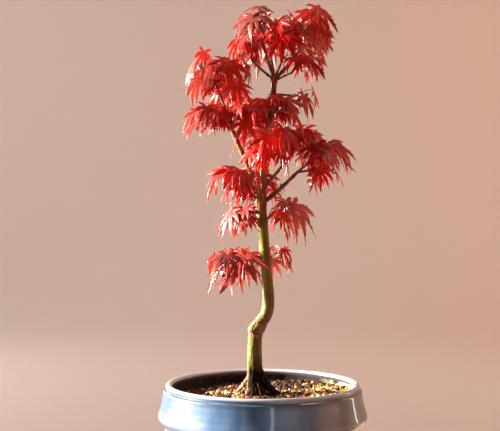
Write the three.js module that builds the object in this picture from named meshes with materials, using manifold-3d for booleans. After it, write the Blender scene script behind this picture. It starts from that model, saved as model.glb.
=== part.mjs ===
// A young Japanese maple trained as a bonsai in a round glazed pot.
//
// Millimetres, +Z up. The origin is the middle of the pot's flat underside, +X runs to the
// right of the side that is meant to be looked at, and +Y runs away from the viewer.
//
// The pot is one turned shell with a rolled lip, a collar that flares to a ridge, and a foot
// ring. The compost fills it. The trunk stands on the compost on its flat cut, kinks at an old
// pruning scar, forks, and runs on as a thin leader to a swollen top node. Boughs leave the
// trunk, and each mass of foliage is one stem that bears opposite pairs of drooping leaves.

import * as THREE from "three";
import { mergeVertices } from "three/addons/utils/BufferGeometryUtils.js";
import Module from "manifold-3d";

const wasm = await Module();
wasm.setup();

// ---------------------------------------------------------------- driving dimensions

const GAP = 0.3; // clearance that neighbouring pieces keep
const LEAST_GAP = 0.99 * GAP; // what is measured may fall short by this much
const FINEST = 0.05; // slivers narrower than this are smoothed away where solids were joined
const DEG = Math.PI / 180;
const UP = new THREE.Vector3(0, 0, 1);

const POT = {
  height: 127.5,
  ridge: 104.5, // the widest radius
  lip: 97, // outer radius of the rolled lip
  mouth: 90.4, // inner radius of the rolled lip
  bore: 92, // inner radius of the wall under the lip
  foot: 70, // outer radius of the foot ring
  footWidth: 9,
  footHeight: 5,
  floor: 8, // thickness of the floor
  drain: 9, // radius of the drain hole
  facets: 40,
};
const INSIDE = { corner: POT.foot - 8, slope: 18, middle: 50, top: 88 }; // of the pot's wall

const COMPOST_TOP = 116; // round the trunk's foot
const GROUND = COMPOST_TOP + GAP; // the flat cut under the trunk

// The compost's surface is a square mesh of humps. It lies level near the trunk's foot, and
// further out it sinks, most of all on the left, and rises a little on the right.
const HUMPS = {
  cell: 9.5,
  across: 20, // cells on each side
  rise: [-0.4, 1.6], // how far a corner of the mesh may stand above its neighbours
  level: 34, // the radius of the level patch
  fall: 45, // how far beyond it the surface takes to reach its outer height
  sink: 1.8,
  tilt: 3.7,
  highest: 4, // no corner rises further than this above the level patch
  seed: 5,
};

// The middle of the trunk, from the cut up over the kink and the fork to the top node.
const TRUNK_LINE = [
  [-7.6, 0, GROUND - 4],
  [-7.9, 0, 145],
  [-7.8, 0, 166],
  [-6.6, 0, 178],
  [-1.6, 0, 187.5],
  [4.2, 0, 197],
  [5.9, 0, 212],
  [3.4, 0, 245],
  [0.6, 0, 278],
  [-1.6, 0, 308],
  [1.2, 0, 335],
  [5.4, 0, 380],
  [11, 0, 422],
  [11.6, 0, 437],
];
// Radius by height: the old stem, the shoot above the kink, its fork and the leader.
const TRUNK_RADII = [
  { height: GROUND, radius: 7.8 },
  { height: 172, radius: 7 },
  { height: 196, radius: 6.2 },
  { height: 245, radius: 5.2 },
  { height: 306, radius: 5.3 },
  { height: 324, radius: 3.9 },
  { height: 431, radius: 2.9 },
  { height: 437, radius: 1.2 },
];
const FLARE = { swell: 3.4, spread: 9 }; // what the foot adds at the ground, and how fast it fades
// Swollen leaf nodes: height, what they add to the radius, and how far up they spread.
const TRUNK_NODES = [
  { height: 182, swell: 1, spread: 5 },
  { height: 248, swell: 0.4, spread: 4 },
  { height: 288, swell: 0.7, spread: 4 },
  { height: 311, swell: 0.9, spread: 7 },
  { height: 431, swell: 1.2, spread: 3 },
];
const SCAR = { at: [-7.4, -0.5, 180.5], radius: 7.2 };

// Surface roots round the foot: compass angle (0 is +X, 90 is +Y), reach and thickness.
const ROOTS = [
  { angle: 182, reach: 22, radius: 3 },
  { angle: 222, reach: 14, radius: 2.2 },
  { angle: 262, reach: 17, radius: 2.6 },
  { angle: 300, reach: 19, radius: 2.4 },
  { angle: 346, reach: 23, radius: 4.4 },
  { angle: 32, reach: 20, radius: 3.2 },
  { angle: 85, reach: 18, radius: 3 },
  { angle: 138, reach: 19, radius: 2.8 },
];

// Boughs: the height where they leave the trunk, where they end, and how far they bow up. The
// oldest has bark like the trunk's.
const BOUGHS = [
  { name: "bough_left", from: 317, tip: [-30, -4, 379], bow: -3, radii: [3.3, 2.4],
    look: "bark" },
  { name: "bough_right_low", from: 306, tip: [34.4, -4, 337.5], bow: -3, radii: [2.5, 1.6] },
  { name: "bough_right_high", from: 319, tip: [24.7, 7, 350], bow: 1, radii: [2.1, 1.4] },
  { name: "bough_top_left", from: 431, tip: [1.5, -3, 461], bow: 1, radii: [1.9, 1.2] },
  { name: "bough_top_right", from: 430, tip: [36.4, 1, 459], bow: -2, radii: [2, 1.2] },
  { name: "bough_top_far_left", from: 430, tip: [-9.7, -6, 447.5], bow: -1, radii: [1.5, 1] },
  { name: "bough_top_back", from: 431, tip: [8, 15, 460], bow: 1, radii: [1.7, 1.1] },
  { name: "bough_top_front", from: 431, tip: [20, -13, 449], bow: 0, radii: [1.4, 0.9] },
  { name: "bough_top_low_right", from: 429, tip: [29, -3, 437], bow: 0, radii: [1.2, 0.8] },
];

// Masses of foliage. "on" is the bough that the stem grows on from, or a height on the trunk.
// The stem ends at "reach" and bows up by "bow" on the way. It bears "pairs" of leaves and as
// many side twigs as "twigs" says, and all of it stays inside "space". "leaf" is the length of
// a middle lobe, "droop" how steeply a blade hangs in degrees, and "seed" starts the dice.
const MASSES = [
  { name: "foliage_lowest_left", on: 250, reach: [-30, -12, 252], bow: 8,
    pairs: 2, twigs: 2, space: [[-58, -50, 205], [6, 36, 263]], leaf: 37, droop: 58, seed: 75 },
  { name: "foliage_lowest_right", on: 247, reach: [14, 18, 256], bow: 3,
    pairs: 2, twigs: 0, space: [[-22, 0, 222], [34, 60, 265]], leaf: 30, droop: 58, seed: 18 },
  { name: "foliage_low_left", on: 288, reach: [-15, -6, 294], bow: 2,
    pairs: 1, twigs: 0, space: [[-52, -40, 266], [4, 40, 306]], leaf: 34, droop: 45, seed: 3 },
  { name: "foliage_low_right", on: 287, reach: [16, -6, 298], bow: 2,
    pairs: 1, twigs: 0, space: [[4, -44, 256], [62, 40, 314]], leaf: 42, droop: 50, seed: 37 },
  { name: "foliage_middle_left", on: 306, reach: [-28, -8, 330], bow: 3,
    pairs: 2, twigs: 1, space: [[-60, -50, 298], [0, 30, 345]], leaf: 34, droop: 50, seed: 42 },
  { name: "foliage_middle_back", on: 304, reach: [-8, 26, 328], bow: 3,
    pairs: 2, twigs: 1, space: [[-50, 4, 286], [34, 66, 346]], leaf: 34, droop: 50, seed: 52 },
  { name: "foliage_right_outer", on: "bough_right_low", reach: [60, -4, 356], bow: 2,
    pairs: 2, twigs: 0, space: [[30, -44, 331], [97, 40, 374]], leaf: 40, droop: 40, seed: 41 },
  { name: "foliage_right_droop", on: "bough_right_low", reach: [54, -10, 339], bow: 1,
    pairs: 1, twigs: 0, space: [[42, -40, 309], [80, 14, 346]], leaf: 28, droop: 60, seed: 87 },
  { name: "foliage_right_inner", on: "bough_right_high", reach: [42, 8, 372], bow: 2,
    pairs: 2, twigs: 1, space: [[10, -24, 338], [70, 54, 388]], leaf: 34, droop: 50, seed: 10 },
  { name: "foliage_centre_low", on: 338, reach: [14, -22, 366], bow: 2,
    pairs: 2, twigs: 1, space: [[-22, -58, 326], [38, 0, 386]], leaf: 36, droop: 60, seed: 34 },
  { name: "foliage_centre_low_back", on: 342, reach: [-2, 24, 364], bow: 2,
    pairs: 2, twigs: 0, space: [[-34, 2, 322], [34, 62, 386]], leaf: 34, droop: 55, seed: 74 },
  { name: "foliage_centre_left", on: 376, reach: [-14, -14, 396], bow: 2,
    pairs: 2, twigs: 0, space: [[-36, -50, 356], [12, 30, 412]], leaf: 34, droop: 60, seed: 68 },
  { name: "foliage_centre_right", on: 384, reach: [16, -16, 404], bow: 2,
    pairs: 2, twigs: 0, space: [[-6, -52, 366], [44, 20, 414]], leaf: 32, droop: 55, seed: 84 },
  { name: "foliage_centre_back", on: 380, reach: [2, 26, 404], bow: 2,
    pairs: 2, twigs: 0, space: [[-34, 2, 364], [44, 62, 420]], leaf: 32, droop: 55, seed: 70 },
  { name: "foliage_right_small", on: 416, reach: [34, -2, 414], bow: 0,
    pairs: 1, twigs: 0, space: [[10, -36, 374], [57, 34, 424]], leaf: 30, droop: 60, seed: 87 },
  { name: "foliage_far_left", on: "bough_left", reach: [-54, -8, 394], bow: 2,
    pairs: 2, twigs: 0, space: [[-84, -44, 366], [-30, 34, 408]], leaf: 30, droop: 50, seed: 67 },
  { name: "foliage_upper_inner", on: "bough_left", reach: [-31, -14, 432], bow: 2,
    pairs: 2, twigs: 2, space: [[-58, -50, 386], [-8, 16, 452]], leaf: 33, droop: 58, seed: 24 },
  { name: "foliage_upper_left", on: "bough_left", reach: [-54, -6, 444], bow: 4,
    pairs: 2, twigs: 2, space: [[-78, -46, 402], [-28, 40, 473]], leaf: 34, droop: 60, seed: 15 },
  { name: "foliage_upper_back", on: "bough_left", reach: [-34, 22, 424], bow: 2,
    pairs: 2, twigs: 1, space: [[-66, 4, 384], [-6, 60, 452]], leaf: 36, droop: 55, seed: 13 },
  { name: "foliage_top_far_left", on: "bough_top_far_left", reach: [-17, -8, 464], bow: 1,
    pairs: 2, twigs: 0, space: [[-44, -46, 424], [0, 24, 482]], leaf: 36, droop: 66, seed: 75 },
  { name: "foliage_top_left", on: "bough_top_left", reach: [-4, -8, 484], bow: 1,
    pairs: 2, twigs: 1, space: [[-34, -46, 452], [22, 30, 501]], leaf: 34, droop: 40, seed: 67 },
  { name: "foliage_top_front", on: "bough_top_front", reach: [18, -22, 474], bow: 1,
    pairs: 2, twigs: 1, space: [[-6, -60, 436], [44, -2, 494]], leaf: 36, droop: 62, seed: 86 },
  { name: "foliage_top_right", on: "bough_top_right", reach: [46, 0, 486], bow: 1,
    pairs: 2, twigs: 2, space: [[16, -46, 442], [77, 40, 509]], leaf: 36, droop: 55, seed: 40 },
  { name: "foliage_top_back", on: "bough_top_back", reach: [12, 30, 482], bow: 1,
    pairs: 2, twigs: 2, space: [[-32, 6, 434], [54, 68, 502]], leaf: 36, droop: 50, seed: 31 },
  { name: "foliage_top_low_right", on: "bough_top_low_right", reach: [40, -5, 447], bow: 1,
    pairs: 1, twigs: 0, space: [[18, -40, 414], [68, 36, 460]], leaf: 34, droop: 50, seed: 11 },
];

// A leaf's lobes: the angle from its middle lobe, and length and half width as shares of the
// middle lobe's length. The notch is how far out the cleft before a lobe reaches.
const LOBES = [
  { angle: -116, length: 0.42, width: 0 },
  { angle: -76, length: 0.76, width: 0.085, notch: 0.2 },
  { angle: -37, length: 0.95, width: 0.1, notch: 0.3 },
  { angle: 0, length: 1, width: 0.105, notch: 0.34 },
  { angle: 37, length: 0.95, width: 0.1, notch: 0.34 },
  { angle: 76, length: 0.76, width: 0.085, notch: 0.3 },
  { angle: 116, length: 0.42, width: 0, notch: 0.2 },
];
const LEAF = {
  widest: 0.58, // where a lobe is widest, along its length
  rib: 0.53, // where the blade bends down its midrib
  fold: 0.22, // how far its edges stand above its midrib, as a share of the way across
  sag: 0.75, // how far a level lobe has bent down at its tip, in radians
  thick: 0.9, // at the middle of the blade
  ribThick: 0.6,
};
const STALK = { radius: 0.5, arch: 0.1, heel: 1.3, sunk: 0.5 };
const STEM = {
  radii: [1.3, 0.8],
  bud: 1.1, // how far its tip stands past its last leaves
  leafy: 0.6, // the share of it that bears leaves
};
const TWIG = {
  radii: [0.9, 0.7],
  spread: 50, // degrees between it and its stem
  length: 0.55, // as a share of the mass's leaf, as below
  bow: 0.08,
};
// Between what each throw of the dice may fall. Angles are in degrees.
const TWIG_THROW = { foot: [0.3, 0.8], spread: [0.6, 1.4], rise: [-0.2, 0.5], length: [0.6, 1.3] };
const LEAF_THROW = {
  rise: [0, 0.45],
  length: [0.82, 1.12],
  stalk: [0.3, 0.7],
  turn: [-45, 45],
  droop: [-20, 20],
  tilt: [-25, 25],
};
const PAIR = { forward: 0.5, first: 20, turn: 90 }; // each pair of leaves stands square to the last
const TRIES = 24; // throws of the dice for each leaf before it is given up
const BRUSH = 0.75; // how close leaves of one mass may come, as a share of their bead radii

// Beads along a lobe: how far out, and how large, as shares of the lobe and of the leaf.
const LOBE_BEADS = [
  { out: 0.35, radius: 0.07 },
  { out: 0.55, radius: 0.075 },
  { out: 0.75, radius: 0.06 },
  { out: 0.94, radius: 0.03 },
];
const HEEL_BEAD = 0.09;
const BEADS = { trunk: 160, bough: 24, stem: 16, twig: 6 }; // along each kind of limb

// Sides, and steps along.
const TRUNK_FACETS = [10, 42];
const ROOT_FACETS = [5, 5];
const BOUGH_FACETS = [6, 5];
const STEM_FACETS = [4, 4];
const TWIG_FACETS = [3, 2];

const COLOURS = {
  glaze: { color: 0x6f87ab, roughness: 0.15, metalness: 0 },
  compost: { color: 0x6b4526, roughness: 0.95, metalness: 0 },
  bark: { color: 0x8f7f3c, roughness: 0.7, metalness: 0 },
  twigBark: { color: 0x5c3320, roughness: 0.65, metalness: 0 },
  leaf: { color: 0xb5161b, roughness: 0.45, metalness: 0 },
};

// ---------------------------------------------------------------- solids

const vector = (list) => new THREE.Vector3(...list);

// A closed three.js geometry as a manifold solid.
function solidOf(geometry) {
  geometry.deleteAttribute("normal");
  geometry.deleteAttribute("uv");
  const merged = mergeVertices(geometry, 1e-4);
  return new wasm.Manifold(
    new wasm.Mesh({
      numProp: 3,
      vertProperties: new Float32Array(merged.attributes.position.array),
      triVerts: new Uint32Array(merged.index.array),
    }),
  );
}

// A manifold solid as a named mesh. A loose scrap that a cut left behind is dropped.
function meshOf(name, solid, look) {
  const bodies = solid.simplify(FINEST).decompose();
  const [body] = bodies.sort((a, b) => b.volume() - a.volume());
  const { vertProperties, triVerts } = body.getMesh();
  const geometry = new THREE.BufferGeometry()
    .setAttribute("position", new THREE.BufferAttribute(vertProperties, 3))
    .setIndex(new THREE.BufferAttribute(triVerts, 1));
  geometry.computeVertexNormals();
  const mesh = new THREE.Mesh(geometry, new THREE.MeshStandardMaterial(COLOURS[look]));
  mesh.name = name;
  return mesh;
}

const joined = (solids) => wasm.Manifold.union(solids);

// A round limb along a curve: a cylinder bent to follow it, with the radius that radiusAt
// gives for each share of the way along and each point.
function limb(curve, radiusAt, sides, steps) {
  const tube = new THREE.CylinderGeometry(1, 1, 1, sides, steps);
  const { tangents, normals } = curve.computeFrenetFrames(steps, false);
  const position = tube.attributes.position;
  for (let i = 0; i < position.count; i++) {
    const share = position.getY(i) + 0.5;
    const station = Math.round(share * steps);
    const middle = curve.getPointAt(share);
    const across = new THREE.Vector3().crossVectors(normals[station], tangents[station]);
    const offset = normals[station].clone().multiplyScalar(position.getX(i));
    offset.addScaledVector(across, position.getZ(i)).multiplyScalar(radiusAt(share, middle));
    position.setXYZ(i, ...middle.add(offset));
  }
  return solidOf(tube);
}

const taper = ([start, end]) => (share) => start + (end - start) * share;

const stemRadius = taper(STEM.radii);
const twigRadius = taper(TWIG.radii);

// A turned shell from a closed profile of radius and height.
function turned(profile, facets) {
  const points = profile.map(([radius, height]) => new THREE.Vector2(radius, height));
  const lathe = new THREE.LatheGeometry(points, facets).rotateX(Math.PI / 2);
  return solidOf(lathe);
}

// ---------------------------------------------------------------- pot and compost

// The inside of the pot from the floor up to the lip, drawn in by "inset".
function insideOfPot(inset) {
  const low = POT.footHeight + POT.floor + inset;
  const wall = new THREE.CubicBezierCurve(
    new THREE.Vector2(INSIDE.corner - inset, low),
    new THREE.Vector2(INSIDE.corner + INSIDE.slope - inset, low + 2),
    new THREE.Vector2(POT.bore - 2 - inset, INSIDE.middle),
    new THREE.Vector2(POT.bore - inset, INSIDE.top),
  );
  return wall.getPoints(4).map((point) => point.toArray());
}

function pot() {
  const { height, ridge, lip, mouth, bore, foot, footWidth, footHeight, floor, drain } = POT;
  const belly = new THREE.CubicBezierCurve(
    new THREE.Vector2(foot + 1, footHeight + 2),
    new THREE.Vector2(foot + 18, footHeight + 8),
    new THREE.Vector2(ridge - 8, 45),
    new THREE.Vector2(ridge - 7, height - 46),
  );
  const profile = [
    [drain, footHeight],
    [foot - footWidth, footHeight],
    [foot - footWidth + 1, 0],
    [foot, 0],
    ...belly.getPoints(6).map((point) => point.toArray()),
    [ridge - 7.4, height - 44.5], // the groove under the ridge
    [ridge - 5.5, height - 40],
    [ridge - 1, height - 35.3],
    [ridge, height - 31.5],
    [ridge - 0.7, height - 28],
    [ridge - 2.1, height - 23.5],
    [ridge - 3.6, height - 16.5],
    [ridge - 4.6, height - 10],
    [ridge - 5.4, height - 6.5],
    [lip + 0.2, height - 4.8], // the seam under the lip
    [lip + 0.2, height - 2.2], // the rolled lip
    [lip - 1, height - 0.7],
    [lip - 2.8, height],
    [mouth + 1.4, height - 0.7],
    [mouth, height - 3],
    [bore, height - 7],
    ...insideOfPot(0).reverse(),
    [drain, footHeight + floor],
    [drain, footHeight],
  ];
  return turned(profile, POT.facets);
}

// How far the compost's surface stands above its level patch at a corner of its mesh.
function surfaceRise(x, y) {
  const column = Math.round(x / HUMPS.cell);
  const row = Math.round(y / HUMPS.cell);
  const roll = dice(HUMPS.seed + (column + 2 * HUMPS.across) * (row + 3 * HUMPS.across));
  const aside = x - TRUNK_LINE[0][0];
  const away = Math.hypot(aside, y);
  const beyond = Math.max(0, away - HUMPS.level);
  const outer = Math.min(1, beyond / HUMPS.fall) * ((HUMPS.tilt * aside) / away - HUMPS.sink);
  return outer + Math.min(1, beyond / HUMPS.cell) * between(HUMPS.rise, roll);
}

function compost() {
  const crest = COMPOST_TOP + HUMPS.highest;
  const profile = [
    [0, POT.footHeight + POT.floor + GAP],
    ...insideOfPot(GAP),
    [POT.bore - GAP, crest],
    [0, crest],
  ];
  const { cell, across } = HUMPS;
  const size = cell * across;
  const block = new THREE.BoxGeometry(size, size, COMPOST_TOP, across, across, 1);
  const position = block.translate(0, 0, COMPOST_TOP / 2).attributes.position;
  for (let i = 0; i < position.count; i++)
    if (position.getZ(i) > COMPOST_TOP / 2)
      position.setZ(i, COMPOST_TOP + surfaceRise(position.getX(i), position.getY(i)));
  return turned(profile, POT.facets).intersect(solidOf(block));
}

// ---------------------------------------------------------------- trunk, roots and boughs

const trunkCurve = new THREE.CatmullRomCurve3(TRUNK_LINE.map(vector), false, "catmullrom", 0.5);

function trunkRadius(height) {
  const at = THREE.MathUtils.clamp(height, GROUND, TRUNK_RADII.at(-1).height);
  const i = Math.max(1, TRUNK_RADII.findIndex((station) => station.height >= at));
  const [below, above] = [TRUNK_RADII[i - 1], TRUNK_RADII[i]];
  const share = (at - below.height) / (above.height - below.height);
  let radius = THREE.MathUtils.lerp(below.radius, above.radius, share);
  radius += FLARE.swell * Math.exp((GROUND - at) / FLARE.spread);
  for (const node of TRUNK_NODES)
    radius += node.swell * Math.exp(-(((at - node.height) / node.spread) ** 2));
  return radius;
}

// The middle of the trunk at a height, found by halving.
function trunkAt(height) {
  let [low, high] = [0, 1];
  for (let i = 0; i < 40; i++) {
    const middle = (low + high) / 2;
    if (trunkCurve.getPoint(middle).z < height) low = middle;
    else high = middle;
  }
  return trunkCurve.getPoint(low);
}

function root({ angle, reach, radius }) {
  const foot = trunkAt(GROUND);
  const way = new THREE.Vector3(Math.cos(angle * DEG), Math.sin(angle * DEG), 0);
  const at = (share, height) =>
    foot.clone().addScaledVector(way, reach * share).setZ(GROUND + height);
  const curve = new THREE.CatmullRomCurve3([at(0, 20), at(0.38, 10), at(0.7, 3), at(1, -0.9)]);
  return limb(curve, taper([radius * 1.1, radius * 0.28]), ...ROOT_FACETS);
}

function trunk() {
  const column = limb(trunkCurve, (share, point) => trunkRadius(point.z), ...TRUNK_FACETS);
  const scar = solidOf(new THREE.IcosahedronGeometry(SCAR.radius, 1).translate(...SCAR.at));
  const below = new THREE.BoxGeometry(200, 200, 100).translate(0, 0, GROUND - 50);
  return joined([column, scar, ...ROOTS.map(root)]).subtract(solidOf(below));
}

// A bough's or shoot's curve, carried on straight past its ends.
function stretched(curve, before, after) {
  return new THREE.QuadraticBezierCurve3(
    curve.v0.clone().addScaledVector(curve.getTangent(0), -before),
    curve.v1,
    curve.v2.clone().addScaledVector(curve.getTangent(1), after),
  );
}

// The middle of a bough, from inside the trunk to its tip.
function boughCurve({ from, tip, bow }) {
  const start = trunkAt(from);
  const end = vector(tip);
  const middle = start.clone().lerp(end, 0.5).addScaledVector(UP, bow);
  return new THREE.QuadraticBezierCurve3(start, middle, end);
}

// ---------------------------------------------------------------- how the foliage grows

// A repeatable dice: the same seed gives the same throws, from 0 up to 1.
function dice(seed) {
  let state = Math.imul(seed, 2654435761) >>> 0;
  return () => {
    state = (Math.imul(state, 1664525) + 1013904223) >>> 0;
    return state / 4294967296;
  };
}

const between = ([low, high], roll) => low + (high - low) * roll();

// A vector turned about an upright line.
const yawed = (way, angle) =>
  new THREE.Vector3(
    way.x * Math.cos(angle) - way.y * Math.sin(angle),
    way.x * Math.sin(angle) + way.y * Math.cos(angle),
    way.z,
  );

// A point of a blade, "far" out from its heel along the lobe at "angle", "aside" from that
// lobe's midrib and "above" its surface. A lobe sags towards the ground as it runs out.
function onBlade(leaf, angle, far, aside = 0, above = 0) {
  const sideways = leaf.normal.clone().cross(leaf.axis);
  const way = leaf.axis.clone().multiplyScalar(Math.cos(angle * DEG));
  way.addScaledVector(sideways, Math.sin(angle * DEG));
  const fall = way.clone().multiplyScalar(way.z).sub(UP);
  const slope = fall.length();
  fall.divideScalar(Math.max(slope, 1e-9));
  const bend = Math.max(1e-6, (LEAF.sag * slope * far) / leaf.length);
  const point = leaf.heel.clone();
  point.addScaledVector(way, (far * Math.sin(bend)) / bend);
  point.addScaledVector(fall, (far * (1 - Math.cos(bend))) / bend);
  const heading = way.multiplyScalar(Math.cos(bend)).addScaledVector(fall, Math.sin(bend));
  const across = leaf.normal.clone().cross(heading).normalize();
  const face = heading.cross(across);
  point.addScaledVector(across, aside);
  return point.addScaledVector(face, above + LEAF.fold * Math.abs(aside));
}

// Beads stand for a shape while it grows, so that nothing grows through it.
function limbBeads(curve, radiusAt, count) {
  return Array.from({ length: count + 1 }, (_, i) => {
    const at = curve.getPoint(i / count);
    return { at, radius: radiusAt(i / count, at) };
  });
}

function leafBeads(leaf) {
  const beads = [{ at: leaf.heel, radius: HEEL_BEAD * leaf.length }];
  for (const { angle, length } of LOBES)
    for (const { out, radius } of LOBE_BEADS)
      beads.push({
        at: onBlade(leaf, angle, out * length * leaf.length),
        radius: radius * leaf.length,
      });
  for (const share of [0.5, 0.8])
    beads.push({ at: leaf.foot.clone().lerp(leaf.heel, share), radius: STALK.radius });
  return beads;
}

const inside = ({ x, y, z }, [low, high]) =>
  [x, y, z].every((value, i) => value > low[i] && value < high[i]);

// True if every bead lies in the mass's space and clear of all that has grown.
function fits(beads, mass, grown) {
  return beads.every(
    ({ at, radius }) =>
      inside(at, mass.space) &&
      grown.every((other) => {
        const room = (radius + other.radius) * (other.mass === mass.name ? BRUSH : 1);
        return at.distanceToSquared(other.at) > (room + GAP) ** 2;
      }),
  );
}

// One throw for a leaf that leaves its stem at "foot", towards "way".
function throwLeaf(mass, foot, way, roll) {
  const rise = way.clone().addScaledVector(UP, between(LEAF_THROW.rise, roll)).normalize();
  const length = mass.leaf * between(LEAF_THROW.length, roll);
  const heel = foot.clone().addScaledVector(rise, mass.leaf * between(LEAF_THROW.stalk, roll));
  const flat = new THREE.Vector3(rise.x, rise.y, 0).normalize();
  const heading = yawed(flat, between(LEAF_THROW.turn, roll) * DEG);
  const pitch = (mass.droop + between(LEAF_THROW.droop, roll)) * DEG;
  const axis = heading.clone().multiplyScalar(Math.cos(pitch));
  axis.addScaledVector(UP, -Math.sin(pitch));
  const level = heading.multiplyScalar(Math.sin(pitch)).addScaledVector(UP, Math.cos(pitch));
  const tilt = between(LEAF_THROW.tilt, roll) * DEG;
  const normal = level.clone().multiplyScalar(Math.cos(tilt));
  normal.addScaledVector(axis.clone().cross(level), Math.sin(tilt));
  return { foot, heel, axis, normal, length };
}

// One throw for a side twig, on one side of its stem.
function throwTwig(mass, stem, side, roll) {
  const share = between(TWIG_THROW.foot, roll);
  const foot = stem.getPoint(share);
  const along = stem.getTangent(share);
  const sideways = UP.clone().cross(along).normalize();
  const spread = TWIG.spread * between(TWIG_THROW.spread, roll) * side * DEG;
  const way = along.clone().multiplyScalar(Math.cos(spread));
  way.addScaledVector(sideways, Math.sin(spread));
  way.addScaledVector(UP, between(TWIG_THROW.rise, roll)).normalize();
  const length = mass.leaf * TWIG.length * between(TWIG_THROW.length, roll);
  const end = foot.clone().addScaledVector(way, length);
  const middle = foot.clone().lerp(end, 0.5).addScaledVector(UP, TWIG.bow * length);
  return new THREE.QuadraticBezierCurve3(foot, middle, end);
}

// Throws until a shape fits and keeps its beads, or gives up.
function place(mass, grown, toss, beadsOf) {
  for (let go = 0; go < TRIES; go++) {
    const shape = toss();
    const beads = beadsOf(shape);
    if (!fits(beads, mass, grown)) continue;
    grown.push(...beads.map((bead) => ({ ...bead, mass: mass.name })));
    return [shape];
  }
  return [];
}

// The side twigs of a mass's stem, on alternate sides. One that finds no room is left out.
function twigsOf(mass, stem, grown) {
  const freeBeads = (curve) => limbBeads(curve, twigRadius, BEADS.twig).slice(BEADS.twig / 2);
  return Array.from({ length: mass.twigs }).flatMap((_, i) => {
    const roll = dice(mass.seed * 1000 + 900 + i);
    const side = i % 2 ? -1 : 1;
    return place(mass, grown, () => throwTwig(mass, stem, side, roll), freeBeads);
  });
}

// A shoot's leaves, in opposite pairs that stand square to each other, with one at its end.
// Leaves that find no room are left out.
function leavesOf(mass, curve, pairs, seed, grown) {
  const leaves = [];
  for (let pair = 0; pair < pairs; pair++) {
    const share = 1 - (pair / pairs) * STEM.leafy;
    const foot = curve.getPoint(share);
    const along = curve.getTangent(share);
    const sideways = UP.clone().cross(along).normalize();
    const upward = along.clone().cross(sideways);
    const turn = (pair * PAIR.turn + PAIR.first) * DEG;
    const ways = [1, -1].map((side) =>
      along
        .clone()
        .multiplyScalar(PAIR.forward)
        .addScaledVector(sideways, side * Math.cos(turn))
        .addScaledVector(upward, side * Math.sin(turn)),
    );
    if (pair === 0) ways.unshift(along);
    for (const [i, way] of ways.entries()) {
      const roll = dice(seed * 100 + pair * 10 + i);
      leaves.push(...place(mass, grown, () => throwLeaf(mass, foot, way, roll), leafBeads));
    }
  }
  return leaves;
}

// What grows in a mass: its stem with its leaves, then each side twig that bears leaves.
function grow(mass, stem, grown) {
  const twigs = twigsOf(mass, stem, grown);
  const own = leavesOf(mass, stem, mass.pairs, mass.seed * 10, grown);
  const shoots = [{ curve: stem, leaves: own }];
  twigs.forEach((curve, i) => {
    const leaves = leavesOf(mass, curve, 1, mass.seed * 10 + i + 1, grown);
    if (leaves.length) shoots.push({ curve, leaves });
  });
  return shoots;
}

// The middle of a mass's stem, from its bough's tip or the middle of the trunk.
function stemCurve(mass, boughs) {
  const start = typeof mass.on === "number" ? trunkAt(mass.on) : boughs.get(mass.on).getPoint(1);
  const end = vector(mass.reach);
  const middle = start.clone().lerp(end, 0.5).addScaledVector(UP, mass.bow);
  return new THREE.QuadraticBezierCurve3(start, middle, end);
}

// ---------------------------------------------------------------- leaves and masses as solids

// A leaf with its stalk: a thin wedge for each lobe, thickest down its midrib, closed at the
// heel by a three-sided tube that runs back into the stem.
function leafSolid(leaf) {
  const points = [];
  const faces = [];
  const put = (point) => points.push(point) - 1;
  const add = (...where) => put(onBlade(leaf, ...where));
  const size = leaf.length;
  const run = leaf.heel.clone().sub(leaf.foot).normalize();
  const turn = new THREE.Quaternion().setFromUnitVectors(leaf.axis, run);
  const up = leaf.normal.clone().applyQuaternion(turn);
  const left = up.clone().cross(run);
  const behind = leaf.heel.clone().addScaledVector(run, -STALK.heel);
  const start = leaf.foot.clone().addScaledVector(run, STALK.sunk);
  const heelLeft = put(behind.clone().addScaledVector(left, STALK.radius));
  const heelRight = put(behind.clone().addScaledVector(left, -STALK.radius));
  const top = add(0, 0, 0, LEAF.thick / 2);
  const under = add(0, 0, 0, -LEAF.thick / 2);

  const both = (make) => {
    faces.push(...make(top, 0));
    faces.push(...make(under, 1).map(([a, b, c]) => [a, c, b]));
  };
  let before = heelRight;
  LOBES.forEach(({ angle, length, width }, i) => {
    const next = LOBES[i + 1];
    const after = next ? add((angle + next.angle) / 2, next.notch * size) : heelLeft;
    const [from, tip] = [before, add(angle, length * size)];
    if (width) {
      const widest = LEAF.widest * length * size;
      const right = add(angle, widest, -width * size);
      const far = add(angle, widest, width * size);
      const rib = [1, -1].map((side) =>
        add(angle, LEAF.rib * length * size, 0, (side * LEAF.ribThick) / 2),
      );
      both((middle, side) => [
        [middle, from, rib[side]],
        [middle, rib[side], after],
        [from, right, rib[side]],
        [rib[side], far, after],
        [right, tip, rib[side]],
        [rib[side], tip, far],
      ]);
    } else
      both((middle) => [
        [middle, from, tip],
        [middle, tip, after],
      ]);
    before = after;
  });

  const arch = start.distanceTo(behind) * STALK.arch;
  let ring = [top, heelLeft, heelRight];
  faces.push([under, heelRight, heelLeft]);
  for (const share of [0.5, 0]) {
    const middle = start.clone().lerp(behind, share);
    middle.addScaledVector(UP, arch * 4 * share * (1 - share));
    const next = [90, 210, 330].map((turned) => {
      const corner = middle.clone().addScaledVector(up, STALK.radius * Math.sin(turned * DEG));
      return put(corner.addScaledVector(left, -STALK.radius * Math.cos(turned * DEG)));
    });
    ring.forEach((corner, i) => {
      const j = (i + 1) % 3;
      faces.push([corner, ring[j], next[i]], [ring[j], next[j], next[i]]);
    });
    ring = next;
  }
  faces.push(ring);
  return solidOf(new THREE.BufferGeometry().setFromPoints(points).setIndex(faces.flat()));
}

// ---------------------------------------------------------------- the whole plant

const part = new THREE.Group();
part.add(meshOf("pot", pot(), "glaze"));
part.add(meshOf("compost", compost(), "compost"));
part.add(meshOf("trunk", trunk(), "bark"));

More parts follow.
